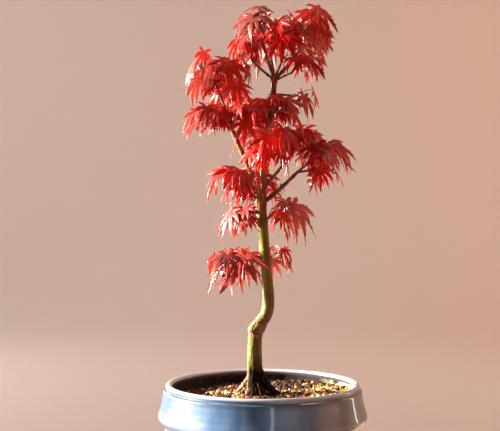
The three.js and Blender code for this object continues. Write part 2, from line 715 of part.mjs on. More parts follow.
// A copy of a limb that is a gap larger all round, and a gap longer at its ends.
function widened(curve, radiusAt, sides, steps) {
  const wider = GAP / Math.cos(Math.PI / sides);
  const longer = stretched(curve, GAP, GAP);
  return limb(longer, (share, point) => radiusAt(share, point) + wider, sides, steps);
}

// "taken" is every limb so far, a gap larger all round, and cuts what comes later. "grown" is
// all that foliage has to keep clear of, as beads.
const sleeve = limb(trunkCurve, (share, point) => trunkRadius(point.z) + GAP, ...TRUNK_FACETS);
let taken = sleeve.add(sleeve.translate([0, 0, GAP]));
const grown = limbBeads(trunkCurve, (share, point) => trunkRadius(point.z), BEADS.trunk);
const boughs = new Map();

for (const bough of BOUGHS) {
  const curve = boughCurve(bough);
  const radiusAt = taper(bough.radii);
  const solid = limb(curve, radiusAt, ...BOUGH_FACETS).subtract(taken);
  part.add(meshOf(bough.name, solid, bough.look ?? "twigBark"));
  taken = taken.add(widened(curve, radiusAt, ...BOUGH_FACETS));
  grown.push(...limbBeads(curve, radiusAt, BEADS.bough));
  boughs.set(bough.name, curve);
}

const stems = MASSES.map((mass) => stemCurve(mass, boughs));
MASSES.forEach((mass, i) => {
  const beads = limbBeads(stems[i], stemRadius, BEADS.stem).slice(BEADS.stem / 4);
  grown.push(...beads.map((bead) => ({ ...bead, mass: mass.name })));
});

const budded = (curve) => stretched(curve, 0, STEM.bud);
const stemSolids = stems.map((stem) => limb(budded(stem), stemRadius, ...STEM_FACETS));
const masses = [];
MASSES.forEach((mass, i) => {
  const others = [...masses, ...stemSolids.slice(i + 1)];
  const clear = (solid) => others.every((other) => solid.minGap(other, GAP) > LEAST_GAP);
  const pieces = [stemSolids[i]];
  grow(mass, stems[i], grown).forEach(({ curve, leaves }, shoot) => {
    const twig = limb(budded(curve), twigRadius, ...TWIG_FACETS);
    if (shoot > 0 && !clear(twig)) return;
    if (shoot > 0) pieces.push(twig);
    pieces.push(...leaves.map(leafSolid).filter(clear));
  });
  masses.push(joined(pieces).subtract(taken));
  part.add(meshOf(mass.name, masses.at(-1), "leaf"));
  taken = taken.add(widened(stems[i], stemRadius, ...STEM_FACETS));
});

export default part;
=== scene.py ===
# %% [markdown]
# # A young Japanese maple in a glazed pot
#
# The real thing is a small tree with a kinked, green-barked stem, a few thin boughs and
# drooping crimson leaves, grown in a round blue-grey pot that is filled with coarse grit.
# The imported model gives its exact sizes. This lesson loads it as a frame and then dresses it:
# pot, grit, bark, twigs and leaves, in that order, each with its own material.

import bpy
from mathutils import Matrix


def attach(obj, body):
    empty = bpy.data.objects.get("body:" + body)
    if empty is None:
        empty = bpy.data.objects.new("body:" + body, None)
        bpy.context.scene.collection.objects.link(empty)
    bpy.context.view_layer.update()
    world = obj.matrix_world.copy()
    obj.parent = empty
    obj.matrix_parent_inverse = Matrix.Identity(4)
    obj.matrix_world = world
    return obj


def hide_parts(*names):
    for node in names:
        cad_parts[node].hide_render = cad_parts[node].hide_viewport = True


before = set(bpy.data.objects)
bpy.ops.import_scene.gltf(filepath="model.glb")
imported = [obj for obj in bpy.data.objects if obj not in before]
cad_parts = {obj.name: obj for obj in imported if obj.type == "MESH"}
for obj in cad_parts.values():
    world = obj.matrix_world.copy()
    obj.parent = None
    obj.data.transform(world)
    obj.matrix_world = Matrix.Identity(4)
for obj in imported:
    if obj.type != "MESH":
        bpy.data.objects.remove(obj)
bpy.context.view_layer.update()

# %% Modules and units
import math
from collections import namedtuple

import bmesh
import bpy
import numpy as np
from mathutils import Matrix, Vector, noise

MM = 0.001  # sizes below are in millimetres, and Blender's unit is the metre
UP = np.array([0.0, 0.0, 1.0])
GAP = 0.3  # clearance between neighbouring pieces
scene = bpy.context.scene
print("nodes in the frame:", len(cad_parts))

# %% [markdown]
# ## The camera
#
# The tree is seen dead level from a little over a metre away, slightly to the left of the
# pot's middle. A long lens keeps the trunk free of distortion.

# %% Camera
EYE = Vector((-12.6, -1046.0, 294.5)) * MM
LENS = 75.3


def linked(name, data):
    """A new object in the scene, for a camera, a lamp or a mesh."""
    thing = bpy.data.objects.new(name, data)
    scene.collection.objects.link(thing)
    return thing


def add_camera():
    data = bpy.data.cameras.new("camera")
    data.lens = LENS
    data.sensor_width = 36.0
    scene.camera = linked("camera", data)
    scene.camera.location = EYE
    scene.camera.rotation_euler = (math.radians(90), 0, 0)


add_camera()
scene.view_settings.view_transform = "Standard"
print("lens in mm:", LENS)

# %% [markdown]
# ## Small helpers for meshes
#
# Each piece starts as a bmesh, which is Blender's mesh in a form that operators can shape.
# When it is done it becomes an object that sits at the origin, unturned and unscaled, because
# its place is in its vertices. Lengths are worked out in millimetres and scaled once, here.


# %% From bmesh to a finished piece
def as_mesh(bm, name):
    """Turns a bmesh into a plain mesh and frees it."""
    mesh = bpy.data.meshes.new(name)
    bm.to_mesh(mesh)
    bm.free()
    return mesh


def finished(bm, name, materials, smooth=True):
    """Scales a bmesh from millimetres to metres and makes it an object."""
    bmesh.ops.scale(bm, vec=(MM, MM, MM), verts=bm.verts)
    mesh = as_mesh(bm, name)
    for material in materials:
        mesh.materials.append(material)
    mesh.shade_smooth() if smooth else mesh.shade_flat()
    print(f"{name}: {len(mesh.polygons)} faces")
    return linked(name, mesh)


def dressed(piece, slot, *nodes):
    """Tells the frame what a piece stands for, by hiding the nodes that it replaces. The slot is
    not used.
    """
    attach(piece, "root")
    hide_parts(*nodes)


def spun(line, steps, closed=True):
    """Spins a line of radii and heights through a full turn."""
    bm = bmesh.new()
    verts = [bm.verts.new((radius, 0, height)) for radius, height in line]
    ends = verts[1:] + (verts[:1] if closed else [])
    edges = [bm.edges.new(pair) for pair in zip(verts, ends)]
    bmesh.ops.spin(
        bm, geom=verts + edges, axis=(0, 0, 1), cent=(0, 0, 0),
        steps=steps, angle=math.tau, use_merge=True,
    )
    bmesh.ops.remove_doubles(bm, verts=bm.verts, dist=1e-4)
    return bm


def copied(bm, mesh):
    """Adds a copy of a mesh to a bmesh, and returns its vertices."""
    before = len(bm.verts)
    bm.from_mesh(mesh)
    bm.verts.ensure_lookup_table()
    return bm.verts[before:]


# %% [markdown]
# ## Small helpers for materials
#
# A finish is one Principled shader, and what varies over a surface comes from nodes that read
# the Object coordinates. Those stay fixed to the mesh, so that a pattern doesn't slide. Values
# that are the same everywhere are set on the shader itself. Colours are hexadecimal codes.


# %% A material and its nodes
def colour(code):
    """A code as the linear values that shaders work in."""
    parts = [((code >> shift) & 255) / 255 for shift in (16, 8, 0)]
    linear = [p / 12.92 if p <= 0.04045 else ((p + 0.055) / 1.055) ** 2.4 for p in parts]
    return (*linear, 1.0)


class Finish:
    """A material in the making. Each method adds nodes and returns the last one's output."""

    def __init__(self, name, code=None, **sockets):
        self.material = bpy.data.materials.new(name)
        self.material.use_nodes = True
        self.tree = self.material.node_tree
        self.shader = self.tree.nodes["Principled BSDF"]
        if code is not None:
            sockets["Base_Color"] = colour(code)
        for socket, value in sockets.items():
            self.shader.inputs[socket.replace("_", " ")].default_value = value

    def node(self, kind, inputs=(), **settings):
        made = self.tree.nodes.new(kind)
        for key, value in settings.items():
            setattr(made, key, value)
        for key, value in dict(inputs).items():
            if isinstance(value, bpy.types.NodeSocket):
                self.tree.links.new(value, made.inputs[key])
            else:
                made.inputs[key].default_value = value
        return made

    def place(self, stretch=(1, 1, 1)):
        """Object coordinates, stretched."""
        where = self.node("ShaderNodeTexCoord").outputs["Object"]
        made = self.node("ShaderNodeMapping", {"Vector": where, "Scale": stretch})
        return made.outputs["Vector"]

    def height(self):
        """How far up a point is, in metres."""
        return self.node("ShaderNodeSeparateXYZ", {"Vector": self.place()}).outputs["Z"]

    def aside(self):
        """How far to the right a point is, in metres."""
        return self.node("ShaderNodeSeparateXYZ", {"Vector": self.place()}).outputs["X"]

    def out(self):
        """How far a point is from the pot's axis, in metres."""
        flat = self.place((1, 1, 0))
        made = self.node("ShaderNodeVectorMath", {0: flat}, operation="LENGTH")
        return made.outputs["Value"]

    def facing(self, way):
        """How squarely the surface faces a direction, from -1 to 1."""
        normal = self.node("ShaderNodeNewGeometry").outputs["Normal"]
        made = self.node("ShaderNodeVectorMath", {0: normal, 1: way}, operation="DOT_PRODUCT")
        return made.outputs["Value"]

    def cloud(self, scale, detail=4.0, stretch=(1, 1, 1)):
        """Soft noise. The scale is in blobs for each metre."""
        inputs = {"Vector": self.place(stretch), "Scale": scale, "Detail": detail}
        return self.node("ShaderNodeTexNoise", inputs).outputs["Fac"]

    def patches(self, scale, low, high, **settings):
        """A mask of soft noise: 0 where it is under the first limit, and 1 over the second."""
        return self.ramp(self.cloud(scale, **settings), (low, 0.0), (high, 1.0))

    def specks(self, scale, size):
        """A mask of scattered dots that fade out from their middles."""
        made = self.node("ShaderNodeTexVoronoi", {"Vector": self.place(), "Scale": scale})
        return self.ramp(made.outputs["Distance"], (0.0, 1.0), (size, 0.0))

    def ramp(self, factor, *stops):
        """Turns a number into a colour or a grey, by stops of a place and a code or a grey."""
        made = self.node("ShaderNodeValToRGB", {"Fac": factor})
        elements = made.color_ramp.elements
        while len(elements) < len(stops):
            elements.new(0.5)
        for element, (position, value) in zip(elements, stops):
            element.position = position
            element.color = colour(value) if isinstance(value, int) else (*[value] * 3, 1)
        return made.outputs["Color"]

    def span(self, value, low, high, to_low=0.0, to_high=1.0):
        """A number moved from one range to another, and held inside it."""
        inputs = {0: value, 1: low, 2: high, 3: to_low, 4: to_high}
        return self.node("ShaderNodeMapRange", inputs).outputs["Result"]

    def band(self, value, start, full, still, end):
        """Rises from 0 to 1 between the first two values and falls again by the last."""
        return self.times(self.span(value, start, full), self.span(value, still, end, 1.0, 0.0))

    def mix(self, factor, first, second):
        """Two colours mixed. Each comes from a node or is a code."""
        pair = [colour(part) if isinstance(part, int) else part for part in (first, second)]
        inputs = {0: factor, 6: pair[0], 7: pair[1]}
        return self.node("ShaderNodeMix", inputs, data_type="RGBA").outputs[2]

    def over(self, under, tint, mask, share=1.0):
        """Lays a tint over a colour, by a mask and a share."""
        return self.mix(self.times(mask, share), under, tint)

    def maths(self, how, first, second):
        return self.node("ShaderNodeMath", {0: first, 1: second}, operation=how).outputs[0]

    def times(self, first, second):
        return self.maths("MULTIPLY", first, second)

    def set(self, **links):
        for socket, value in links.items():
            self.tree.links.new(value, self.shader.inputs[socket.replace("_", " ")])

    def bump(self, height, distance, strength=1.0):
        """Fine relief. The distance is in metres."""
        inputs = {"Height": height, "Distance": distance, "Strength": strength}
        self.set(Normal=self.node("ShaderNodeBump", inputs).outputs["Normal"])


print("a slate blue in linear values:", colour(0x3F6593))

# %% [markdown]
# ## Floor and light
#
# The floor is one pale sheet that sweeps up into a wall all round, as in a studio, so there is
# no corner behind the tree from any side. A strong low sun far to the left lights one side of
# the trunk and the pot, and a second spot behind it gives them a bright rim. Weak windows, a
# warm wall and two narrow strips keep the shade soft and draw lines in the glaze. Two more
# lamps light the backdrop, cool on the left and warm on the right.


# %% The sweep
def add_sweep():
    flat, curl, run, wall = 1.5, 0.35, 1.7, 2.6
    line = [(0.05, 0), (0.6, 0), (flat, 0)]
    line += [(flat + out, curl * out**3) for out in np.linspace(0, run, 16)[1:]]
    line += [(flat + run, wall)]
    bm = spun(line, steps=96, closed=False)
    rim = [edge for edge in bm.edges if edge.is_boundary and edge.verts[0].co.z < 0.1]
    bmesh.ops.contextual_create(bm, geom=rim)
    bmesh.ops.recalc_face_normals(bm, faces=bm.faces)
    bmesh.ops.scale(bm, vec=(1 / MM, 1 / MM, 1 / MM), verts=bm.verts)
    paper = Finish("pale_paper", 0xD9C2B3, Roughness=0.9)
    finished(bm, "studio_sweep", [paper.material])


add_sweep()

# %% The lamps
SUN_FROM, MIDDLE, POT_FOOT = (-2.68, 0.33, 1.02), (0.0, 0.0, 0.27), (0.0, 0.0, 0.1)
SUNNY, WHITE, COOL = (1.0, 0.91, 0.73), (1.0, 0.97, 0.94), (0.71, 0.89, 1.0)
WARM, WARMER = (1.0, 0.6, 0.43), (1.0, 0.44, 0.2)
SPOTS = (  # name, place, radius, watts, colour, cone in degrees
    ("low_sun", SUN_FROM, 0.06, 2000.0, SUNNY, 15),
    ("rim_light", (-1.7, 1.9, 0.62), 0.04, 700.0, WHITE, 9),
)
SOFTBOXES = (  # name, place, what it points at, width and height, watts, colour
    ("overhead", (-0.2, -0.1, 1.5), MIDDLE, (0.7, 0.7), 3.0, WHITE),
    ("left_window", (-1.3, -1.1, 0.9), MIDDLE, (0.9, 0.9), 2.1, COOL),
    ("left_back_window", (-1.28, 0.5, 0.42), POT_FOOT, (1.3, 0.7), 10.5, WHITE),
    ("right_wall", (1.6, -0.4, 0.5), MIDDLE, (1.0, 1.0), 3.2, WARMER),
    ("front_strip", (0.26, -1.55, 0.55), POT_FOOT, (0.1, 0.8), 1.3, WHITE),
    ("back_strip", (1.11, 0.565, 0.43), POT_FOOT, (0.06, 0.85), 2.0, SUNNY),
    ("backdrop_left", (-1.1, 0.8, 2.2), (-0.8, 2.8, 0.5), (1.0, 0.6), 31.5, COOL),
    ("backdrop_right", (1.1, 0.8, 2.2), (0.8, 2.8, 0.5), (1.0, 0.6), 27.0, WARM),
)
SKY_COLOUR, SKY_STRENGTH = 0xDCDCE6, 0.07


def add_lamp(name, kind, place, aim, power, tint, **settings):
    """A lamp that points at a place and isn't seen itself."""
    data = bpy.data.lights.new(name, kind)
    data.energy = power
    data.color = tint
    for key, value in settings.items():
        setattr(data, key, value)
    lamp = linked(name, data)
    lamp.location = place
    way = Vector(aim) - Vector(place)
    lamp.rotation_euler = way.to_track_quat("-Z", "Y").to_euler()
    lamp.visible_camera = False


def add_sky():
    world = bpy.data.worlds.new("soft_sky")
    world.use_nodes = True
    sky = world.node_tree.nodes["Background"]
    sky.inputs["Color"].default_value = colour(SKY_COLOUR)
    sky.inputs["Strength"].default_value = SKY_STRENGTH
    scene.world = world


for name, place, radius, power, tint, cone in SPOTS:
    add_lamp(
        name, "SPOT", place, MIDDLE, power, tint,
        shadow_soft_size=radius, spot_size=math.radians(cone), spot_blend=0.35,
    )
for name, place, aim, (wide, high), power, tint in SOFTBOXES:
    add_lamp(name, "AREA", place, aim, power, tint, shape="RECTANGLE", size=wide, size_y=high)
add_sky()

# %% [markdown]
# ## The pot
#
# A pot like this is thrown on a wheel: a rolled lip, a collar that flares to a ridge, a belly
# and a foot ring. So its mesh is made as the potter makes it. One profile, from the drain hole
# round the outside and back down the inside, is spun through a full turn. Slow, shallow waves
# then take away the perfection of a lathe.

# %% The pot's profile, as radius and height
HEIGHT, RIDGE, MOUTH, BORE = 127.5, 104.5, 90.4, 92.0
FOOT, FOOT_INSIDE, FOOT_HEIGHT, FLOOR, DRAIN, HALFWAY = 70.0, 61.0, 5.0, 13.0, 9.0, 40.0
GLAZED_INSIDE = 6.2  # how far down from the lip the glaze reaches on the inside
COLLAR = (  # how far in from the ridge, and how far below the top
    (7.15, 45.5), (7.3, 44.2), (5.5, 40), (1, 35.3), (0.02, 31.5), (0.7, 28), (2.1, 23.5),
    (3.6, 16.5), (4.6, 10), (5.3, 6.6), (6.6, 5.4), (7.6, 4.8),
)
ROLLED_LIP = (
    (7.6, 4.4), (7.35, 2.4), (8.5, 0.75), (10.3, 0.02), (12.7, 0.8), (14.1, 3), (12.5, 7),
)


def catmull_rom(corners, share):
    """A point on a smooth line that passes through every corner, from share 0 to 1."""
    last = len(corners) - 1
    place = last * share
    i = min(int(place), last - 1)
    t = place - i
    p1, p2 = corners[i], corners[i + 1]
    p0 = corners[i - 1] if i > 0 else 2 * p1 - p2
    p3 = corners[i + 2] if i + 2 <= last else 2 * p2 - p1
    t1, t2 = 0.5 * (p2 - p0), 0.5 * (p3 - p1)
    c2 = -3 * p1 + 3 * p2 - 2 * t1 - t2
    c3 = 2 * p1 - 2 * p2 + t1 + t2
    return p1 + t1 * t + c2 * (t * t) + c3 * (t * t * t)


def rounded(corners, count):
    """A smooth line through corners that are measured from the ridge and the top."""
    corners = [np.array((RIDGE - inward, HEIGHT - below)) for inward, below in corners]
    return [catmull_rom(corners, i / (count - 1)) for i in range(count)]


def bezier(p0, p1, p2, p3, count):
    points = []
    for t in np.linspace(0, 1, count):
        u = 1 - t
        parts = zip((u**3, 3 * u * u * t, 3 * u * t * t, t**3), (p0, p1, p2, p3))
        points.append(sum(weight * np.array(p) for weight, p in parts))
    return points


def pot_profile():
    under = [(DRAIN, FOOT_HEIGHT), (HALFWAY, FOOT_HEIGHT), (FOOT_INSIDE, FOOT_HEIGHT)]
    foot = [(FOOT_INSIDE + 1, 0.6), (FOOT_INSIDE + 1.8, 0), (FOOT - 1, 0), (FOOT, 0.9)]
    belly = bezier((FOOT + 1, 7), (FOOT + 18, 13), (RIDGE - 8, 45), (RIDGE - 7, HEIGHT - 46), 26)
    outside = belly + rounded(COLLAR, 46) + rounded(ROLLED_LIP, 26)
    inside = bezier((BORE, 88), (BORE - 2, 50), (FOOT + 10, FLOOR + 2), (FOOT - 8, FLOOR), 16)
    return [*under, *foot, *outside, *inside, (HALFWAY, FLOOR), (DRAIN, FLOOR)]


# %% The pot's mesh
WAVES_ABOVE = 8  # the foot ring below this height stays true


def pot_waviness(co):
    """How far a thrown wall strays from round, in millimetres."""
    turn = math.atan2(co.y, co.x)
    rings = 0.035 * math.sin(co.z * 0.95 + 0.8 * math.sin(turn * 2))
    hand = noise.noise(Vector((co.x, co.y, co.z * 1.4)) * 0.022) * 0.5
    return rings + hand


def pot_mesh():
    bm = spun(pot_profile(), steps=160)
    for vert in bm.verts:
        radius = math.hypot(vert.co.x, vert.co.y)
        if vert.co.z < WAVES_ABOVE or radius < FOOT:
            continue
        inward = min(0.0, pot_waviness(vert.co) - 0.35)
        vert.co.x *= 1 + inward / radius
        vert.co.y *= 1 + inward / radius
    bmesh.ops.recalc_face_normals(bm, faces=bm.faces)
    for face in bm.faces:
        middle, way = face.calc_center_median(), face.normal
        inner = way.x * middle.x + way.y * middle.y < 0 or way.z > 0.7
        if inner and FLOOR - 1 < middle.z < HEIGHT - GLAZED_INSIDE:
            face.material_index = 1
    return bm


# %% [markdown]
# ## The glaze
#
# The glaze is thick and glossy, slate blue where it pools and paler where it ran thin over the
# lip and the ridge. It ran downwards in the kiln, so its streaks are noise that is stretched
# upright. A clear coat gives it the sharp highlight of glass over a softer body. A dark band in
# the groove under the lip is painted shade, and a warm brown on the right is a painted reflection
# of a warm wall. Inside, it stops a little below the lip, and the clay under it is bare and dark,
# with a pale crust of dried minerals that lies only on the right, where the sun falls, so that
# it is also painted sunlight.

# %% The glaze
INNER_SIDE, OUTER_SIDE = (MOUTH + 1) * MM, (MOUTH + 2.4) * MM  # of the lip, from the axis
WARM_REFLECTION_SIDE, CRUST_SUNLIT_SIDE = (0.0, 0.075), (0.06, 0.085)  # metres to the right of the axis, for the painted warm reflection and the crust with painted sunlight


def at(below):
    """A height in metres, given as millimetres below the top of the lip."""
    return (HEIGHT - below) * MM


def glaze():
    finish = Finish("blue_glaze", Roughness=0.36, Coat_Roughness=0.07, IOR=1.55)
    up = finish.height()
    pools = finish.cloud(14, detail=6, stretch=(1, 1, 0.35))
    body = finish.ramp(pools, (0.34, 0x2C4870), (0.5, 0x3F6593), (0.66, 0x6A8DB8))
    runs = finish.patches(60, 0.5, 0.72, detail=3, stretch=(1, 1, 0.12))
    iron = finish.specks(420, 0.1)
    # Painted shade: a dark band in the groove under the rolled lip.
    painted_lip_shade = finish.band(up, at(11), at(6.5), at(5.2), at(4.2))
    ridge = finish.band(up, at(35), at(32.5), at(31), at(28.5))
    under = finish.span(up, at(38), at(44))
    # Painted reflection: the right side is tinted warm brown, as if the glaze reflected a warm wall
    # there.
    painted_warm_reflection = finish.span(finish.aside(), *WARM_REFLECTION_SIDE)
    inner = finish.span(finish.out(), INNER_SIDE, OUTER_SIDE, 1.0, 0.0)
    lip = finish.span(up, at(2.9), at(1.3))
    for mask, share, code in (
        (runs, 0.3, 0x8E9AAE), (iron, 0.3, 0x4A3A30), (painted_lip_shade, 0.7, 0x27303F),
        (ridge, 0.4, 0x9FAABC), (under, 0.5, 0x7F95BF), (painted_warm_reflection, 0.85, 0x54392A),
        (inner, 0.8, 0x5C565E), (lip, 0.8, 0xC8C2CC),
    ):
        body = finish.over(body, code, mask, share)
    finish.set(Base_Color=body, Coat_Weight=finish.span(up, at(35), at(40), 0.6, 0.12))
    finish.bump(finish.cloud(210, detail=2), 0.0002, 0.35)
    return finish.material


def bare_clay():
    finish = Finish("bare_clay", Roughness=0.9)
    stains = finish.cloud(90, detail=6, stretch=(1, 1, 0.5))
    clay = finish.ramp(stains, (0.3, 0x140E0B), (0.52, 0x2A1E16), (0.72, 0x4C3B2A))
    # Painted sunlight: pale crust patches, laid only on the right of the inner wall, where the sun
    # falls.
    crust_and_sunlight = finish.patches(75, 0.42, 0.55, detail=5)
    painted_sun_side = finish.span(finish.aside(), *CRUST_SUNLIT_SIDE)
    finish.set(Base_Color=finish.over(clay, 0xE6D6A8, crust_and_sunlight, painted_sun_side))
    finish.bump(finish.cloud(900, detail=5), 0.0003)
    return finish.material


dressed(finished(pot_mesh(), "glazed_pot", [glaze(), bare_clay()]), "glaze", "pot")

# %% [markdown]
# ## The grit
#
# Bonsai are grown in coarse baked-clay grit, not in garden soil. A near-black bed fills the pot
# to a little under the lip. Its surface follows the same mesh of humps as the imported solid:
# level near the trunk, sunken on the left and heaped a little on the right. The bed's dark is
# painted shade, which shows between the crumbs. On it lie thousands of crumbs, golden, pale,
# brown and dark. As painted light, golden and pale ones lie in patches of sun and brown and dark
# ones in the shade. A crumb is a bevelled cube that is knocked out of shape. A few kinds of
# crumb are made once and copied into one mesh for each colour, which keeps the file light.


# %% The dice
class Dice:
    """Throws numbers from 0 up to 1. The same seed gives the same throws."""

    def __init__(self, seed):
        self.state = (seed * 2654435761) & 0xFFFFFFFF

    def between(self, limits):
        self.state = (self.state * 1664525 + 1013904223) & 0xFFFFFFFF
        return limits[0] + (limits[1] - limits[0]) * (self.state / 4294967296)


print("the first three throws:", [round(Dice(seed).between((0, 1)), 3) for seed in (1, 2, 3)])

# %% The surface of the grit
COMPOST_TOP, STEM_AT = 116.0, -7.6
CELL, ACROSS, RISE, SEED = 9.5, 20, (-0.4, 1.6), 5
LEVEL, FALL, SINK, TILT = 34, 45, 1.8, 3.7


def corner_rise(column, row):
    """How far one corner of the mesh of humps stands above the level patch."""
    roll = Dice(SEED + (column + 2 * ACROSS) * (row + 3 * ACROSS)).between(RISE)
    aside = column * CELL - STEM_AT
    away = math.hypot(aside, row * CELL)
    beyond = max(0.0, away - LEVEL)
    outer = min(1.0, beyond / FALL) * (TILT * aside / away - SINK)
    return outer + min(1.0, beyond / CELL) * roll


def surface_rise(x, y):
    """The same anywhere, blended from the four corners round a point."""
    column, row = math.floor(x / CELL), math.floor(y / CELL)
    right, back = x / CELL - column, y / CELL - row
    near = corner_rise(column, row) * (1 - right) + corner_rise(column + 1, row) * right
    far = corner_rise(column, row + 1) * (1 - right) + corner_rise(column + 1, row + 1) * right
    return near * (1 - back) + far * back


# %% The bed
BED_INNER, BED_RADIUS, BED_TOP, BED_DEPTH = 0.4, 91.4, COMPOST_TOP - 1.8, 24


def bed_mesh():
    line = [(radius, BED_TOP) for radius in np.linspace(BED_INNER, BED_RADIUS, 31)]
    line += [(radius, BED_TOP - BED_DEPTH) for radius in (BED_RADIUS, BED_INNER)]
    bm = spun(line, steps=96)
    for vert in bm.verts:
        if vert.co.z > BED_TOP - 1:
            vert.co.z += surface_rise(vert.co.x, vert.co.y) + noise.noise(vert.co * 0.25) * 0.6
    bmesh.ops.recalc_face_normals(bm, faces=bm.faces)
    return bm


def bed_finish():
    finish = Finish("grit_bed_gap_shade", Roughness=0.95)
    dust = finish.cloud(500, detail=6)
    # Painted shade: the near-black bed shows between the crumbs as the dark gaps there.
    tones = finish.ramp(dust, (0.3, 0x0C0604), (0.55, 0x1E0F08), (0.75, 0x3E2413))
    finish.set(Base_Color=tones)
    finish.bump(dust, 0.0012)
    return finish.material


dressed(finished(bed_mesh(), "grit_bed", [bed_finish()]), "compost", "compost")

# %% The crumbs
CRUMBS = (  # name, colour, share of the crumbs in painted sun, share of those in painted shade
    ("golden", 0xC89A50, 0.66, 0.0),
    ("pale", 0xE6D4A4, 0.22, 0.0),
    ("brown", 0x6E3418, 0.12, 0.42),
    ("dark", 0x1C100A, 0.0, 0.58),
)
CRUMB_SPACING, ROW_SPACING, SHAKE = 3.5, 3.5 * 0.87, 1.3
CRUMB_SIZES = (2.0, 5.0)
LIT_IN_SHADE, LIT_MORE_IN_SUN = 0.07, 0.8
SUN_PATCHES = (((70, 10), 40), ((-38, 6), 15), ((-17, -14), 14))  # patches of painted sun: middle and spread


def painted_sunlight(x, y):
    """Painted sunlight on the grit: from almost 0 in the shade to 1 in a patch of sun."""
    return LIT_IN_SHADE + LIT_MORE_IN_SUN * max(
        math.exp(-((math.hypot(x - spot[0], y - spot[1]) / spread) ** 2))
        for spot, spread in SUN_PATCHES
    )


def crumb_kinds(rng, count=7):
    """A few knocked-about stones, each about a millimetre across."""
    kinds = []
    for _ in range(count):
        bm = bmesh.new()
        bmesh.ops.create_cube(bm, size=1.0)
        bmesh.ops.bevel(
            bm, geom=bm.edges[:] + bm.verts[:], offset=0.24, offset_type="OFFSET",
            affect="EDGES", segments=1, profile=0.5, material=-1,
        )
        for vert in bm.verts:
            vert.co += Vector(rng.uniform(-0.09, 0.09, 3))
        kinds.append(as_mesh(bm, "crumb"))
    return kinds


def crumb_places(rng):
    """Places about a crumb apart, in shaky rows over the whole bed."""
    reach = BED_RADIUS - 1.6
    places = []
    for i, y in enumerate(np.arange(-reach, reach, ROW_SPACING)):
        for x in np.arange(-reach + (i % 2) * CRUMB_SPACING / 2, reach, CRUMB_SPACING):
            shaken = np.array([x, y]) + rng.uniform(-SHAKE, SHAKE, 2)
            if math.hypot(*shaken) < reach:
                places.append(shaken)
    return places


def add_crumbs():
    rng = np.random.default_rng(7)
    kinds = crumb_kinds(rng)
    heaps = {name: bmesh.new() for name, *_ in CRUMBS}
    for x, y in crumb_places(rng):
        # Painted light: golden and pale crumbs in the patches of sun, brown and dark ones in the
        # shade.
        lit = painted_sunlight(x, y)
        shares = [lit * in_sun + (1 - lit) * in_shade for _, _, in_sun, in_shade in CRUMBS]
        heap = heaps[CRUMBS[rng.choice(len(CRUMBS), p=shares)][0]]
        size = rng.uniform(*CRUMB_SIZES) * rng.uniform(0.75, 1.0)
        turn = Matrix.Rotation(rng.uniform(0, math.tau), 4, Vector(rng.normal(size=3)))
        squash = Matrix.Diagonal((*(size * rng.uniform(0.75, 1.1, 3)), 1.0))
        lie = Vector((x, y, BED_TOP + surface_rise(x, y) + rng.uniform(0.2, 1.5)))
        crumb = copied(heap, kinds[rng.integers(len(kinds))])
        bmesh.ops.transform(heap, matrix=Matrix.Translation(lie) @ turn @ squash, verts=crumb)
    for mesh in kinds:
        bpy.data.meshes.remove(mesh)
    for name, code, *_ in CRUMBS:
        finish = Finish(f"{name}_clay", code, Roughness=0.9)
        piece = finished(heaps[name], f"{name}_crumbs", [finish.material], smooth=False)
        dressed(piece, "compost", "compost")


add_crumbs()

# %% [markdown]
# ## The trunk's shape
#
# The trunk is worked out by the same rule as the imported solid, so that it stands in the same
# place: a smooth line up over an old pruning kink and a fork, a radius for each height, a
# flare at the foot, and a swelling at each leaf node.

# %% The trunk's rule
GROUND = 116.3
TRUNK_LINE = [
    np.array(point) for point in (
        (-7.6, 0, GROUND - 4), (-7.9, 0, 145), (-7.8, 0, 166), (-6.6, 0, 178), (-1.6, 0, 187.5),
        (4.2, 0, 197), (5.9, 0, 212), (3.4, 0, 245), (0.6, 0, 278), (-1.6, 0, 308),
        (1.2, 0, 335), (5.4, 0, 380), (11, 0, 422), (11.6, 0, 437),
    )
]
TRUNK_HEIGHTS = (GROUND, 172, 196, 245, 306, 324, 431, 437)
TRUNK_RADII = (7.8, 7, 6.2, 5.2, 5.3, 3.9, 2.9, 1.2)
TRUNK_NODES = ((182, 1, 5), (248, 0.4, 4), (288, 0.7, 4), (311, 0.9, 7), (431, 1.2, 3))
FLARE_SWELL, FLARE_SPREAD = 3.4, 9


def trunk_radius(height):
    """The trunk's radius at a height; a node is a height, a swelling and its spread."""
    at = min(max(height, GROUND), TRUNK_HEIGHTS[-1])
    radius = float(np.interp(at, TRUNK_HEIGHTS, TRUNK_RADII))
    radius += FLARE_SWELL * math.exp((GROUND - at) / FLARE_SPREAD)
    for node, swell, spread in TRUNK_NODES:
        radius += swell * math.exp(-(((at - node) / spread) ** 2))
    return radius


def trunk_point(share):
    return catmull_rom(TRUNK_LINE, share)


def trunk_radius_along(share):
    return trunk_radius(trunk_point(share)[2])


def trunk_at(height):
    """The middle of the trunk at a height, found by halving."""
    low, high = 0.0, 1.0
    for _ in range(40):
        middle = (low + high) / 2
        if trunk_point(middle)[2] < height:
            low = middle
        else:
            high = middle
    return trunk_point(low)


print("trunk radius at the ground and at the top node:", trunk_radius(GROUND), trunk_radius(431))


# %% The boughs' rule
class Bow:
    """The middle of a limb: a curve from one point to another, pulled towards a third."""

    def __init__(self, start, pull, end):
        self.start, self.pull, self.end = start, pull, end

    def point(self, share):
        left = 1 - share
        return left * left * self.start + 2 * left * share * self.pull + share * share * self.end

    def way(self, share):
        """The direction at a share of the way along."""
        after, before = min(share + 0.0001, 1.0), max(share - 0.0001, 0.0)
        return unit(self.point(after) - self.point(before))


def unit(vector):
    return vector / math.sqrt(float(vector @ vector))


def bowed(start, end, rise):
    """A limb between two points that bows up on the way."""
    return Bow(start, start + (end - start) * 0.5 + UP * rise, end)


def tapered(radii):
    return lambda share: radii[0] + (radii[1] - radii[0]) * share


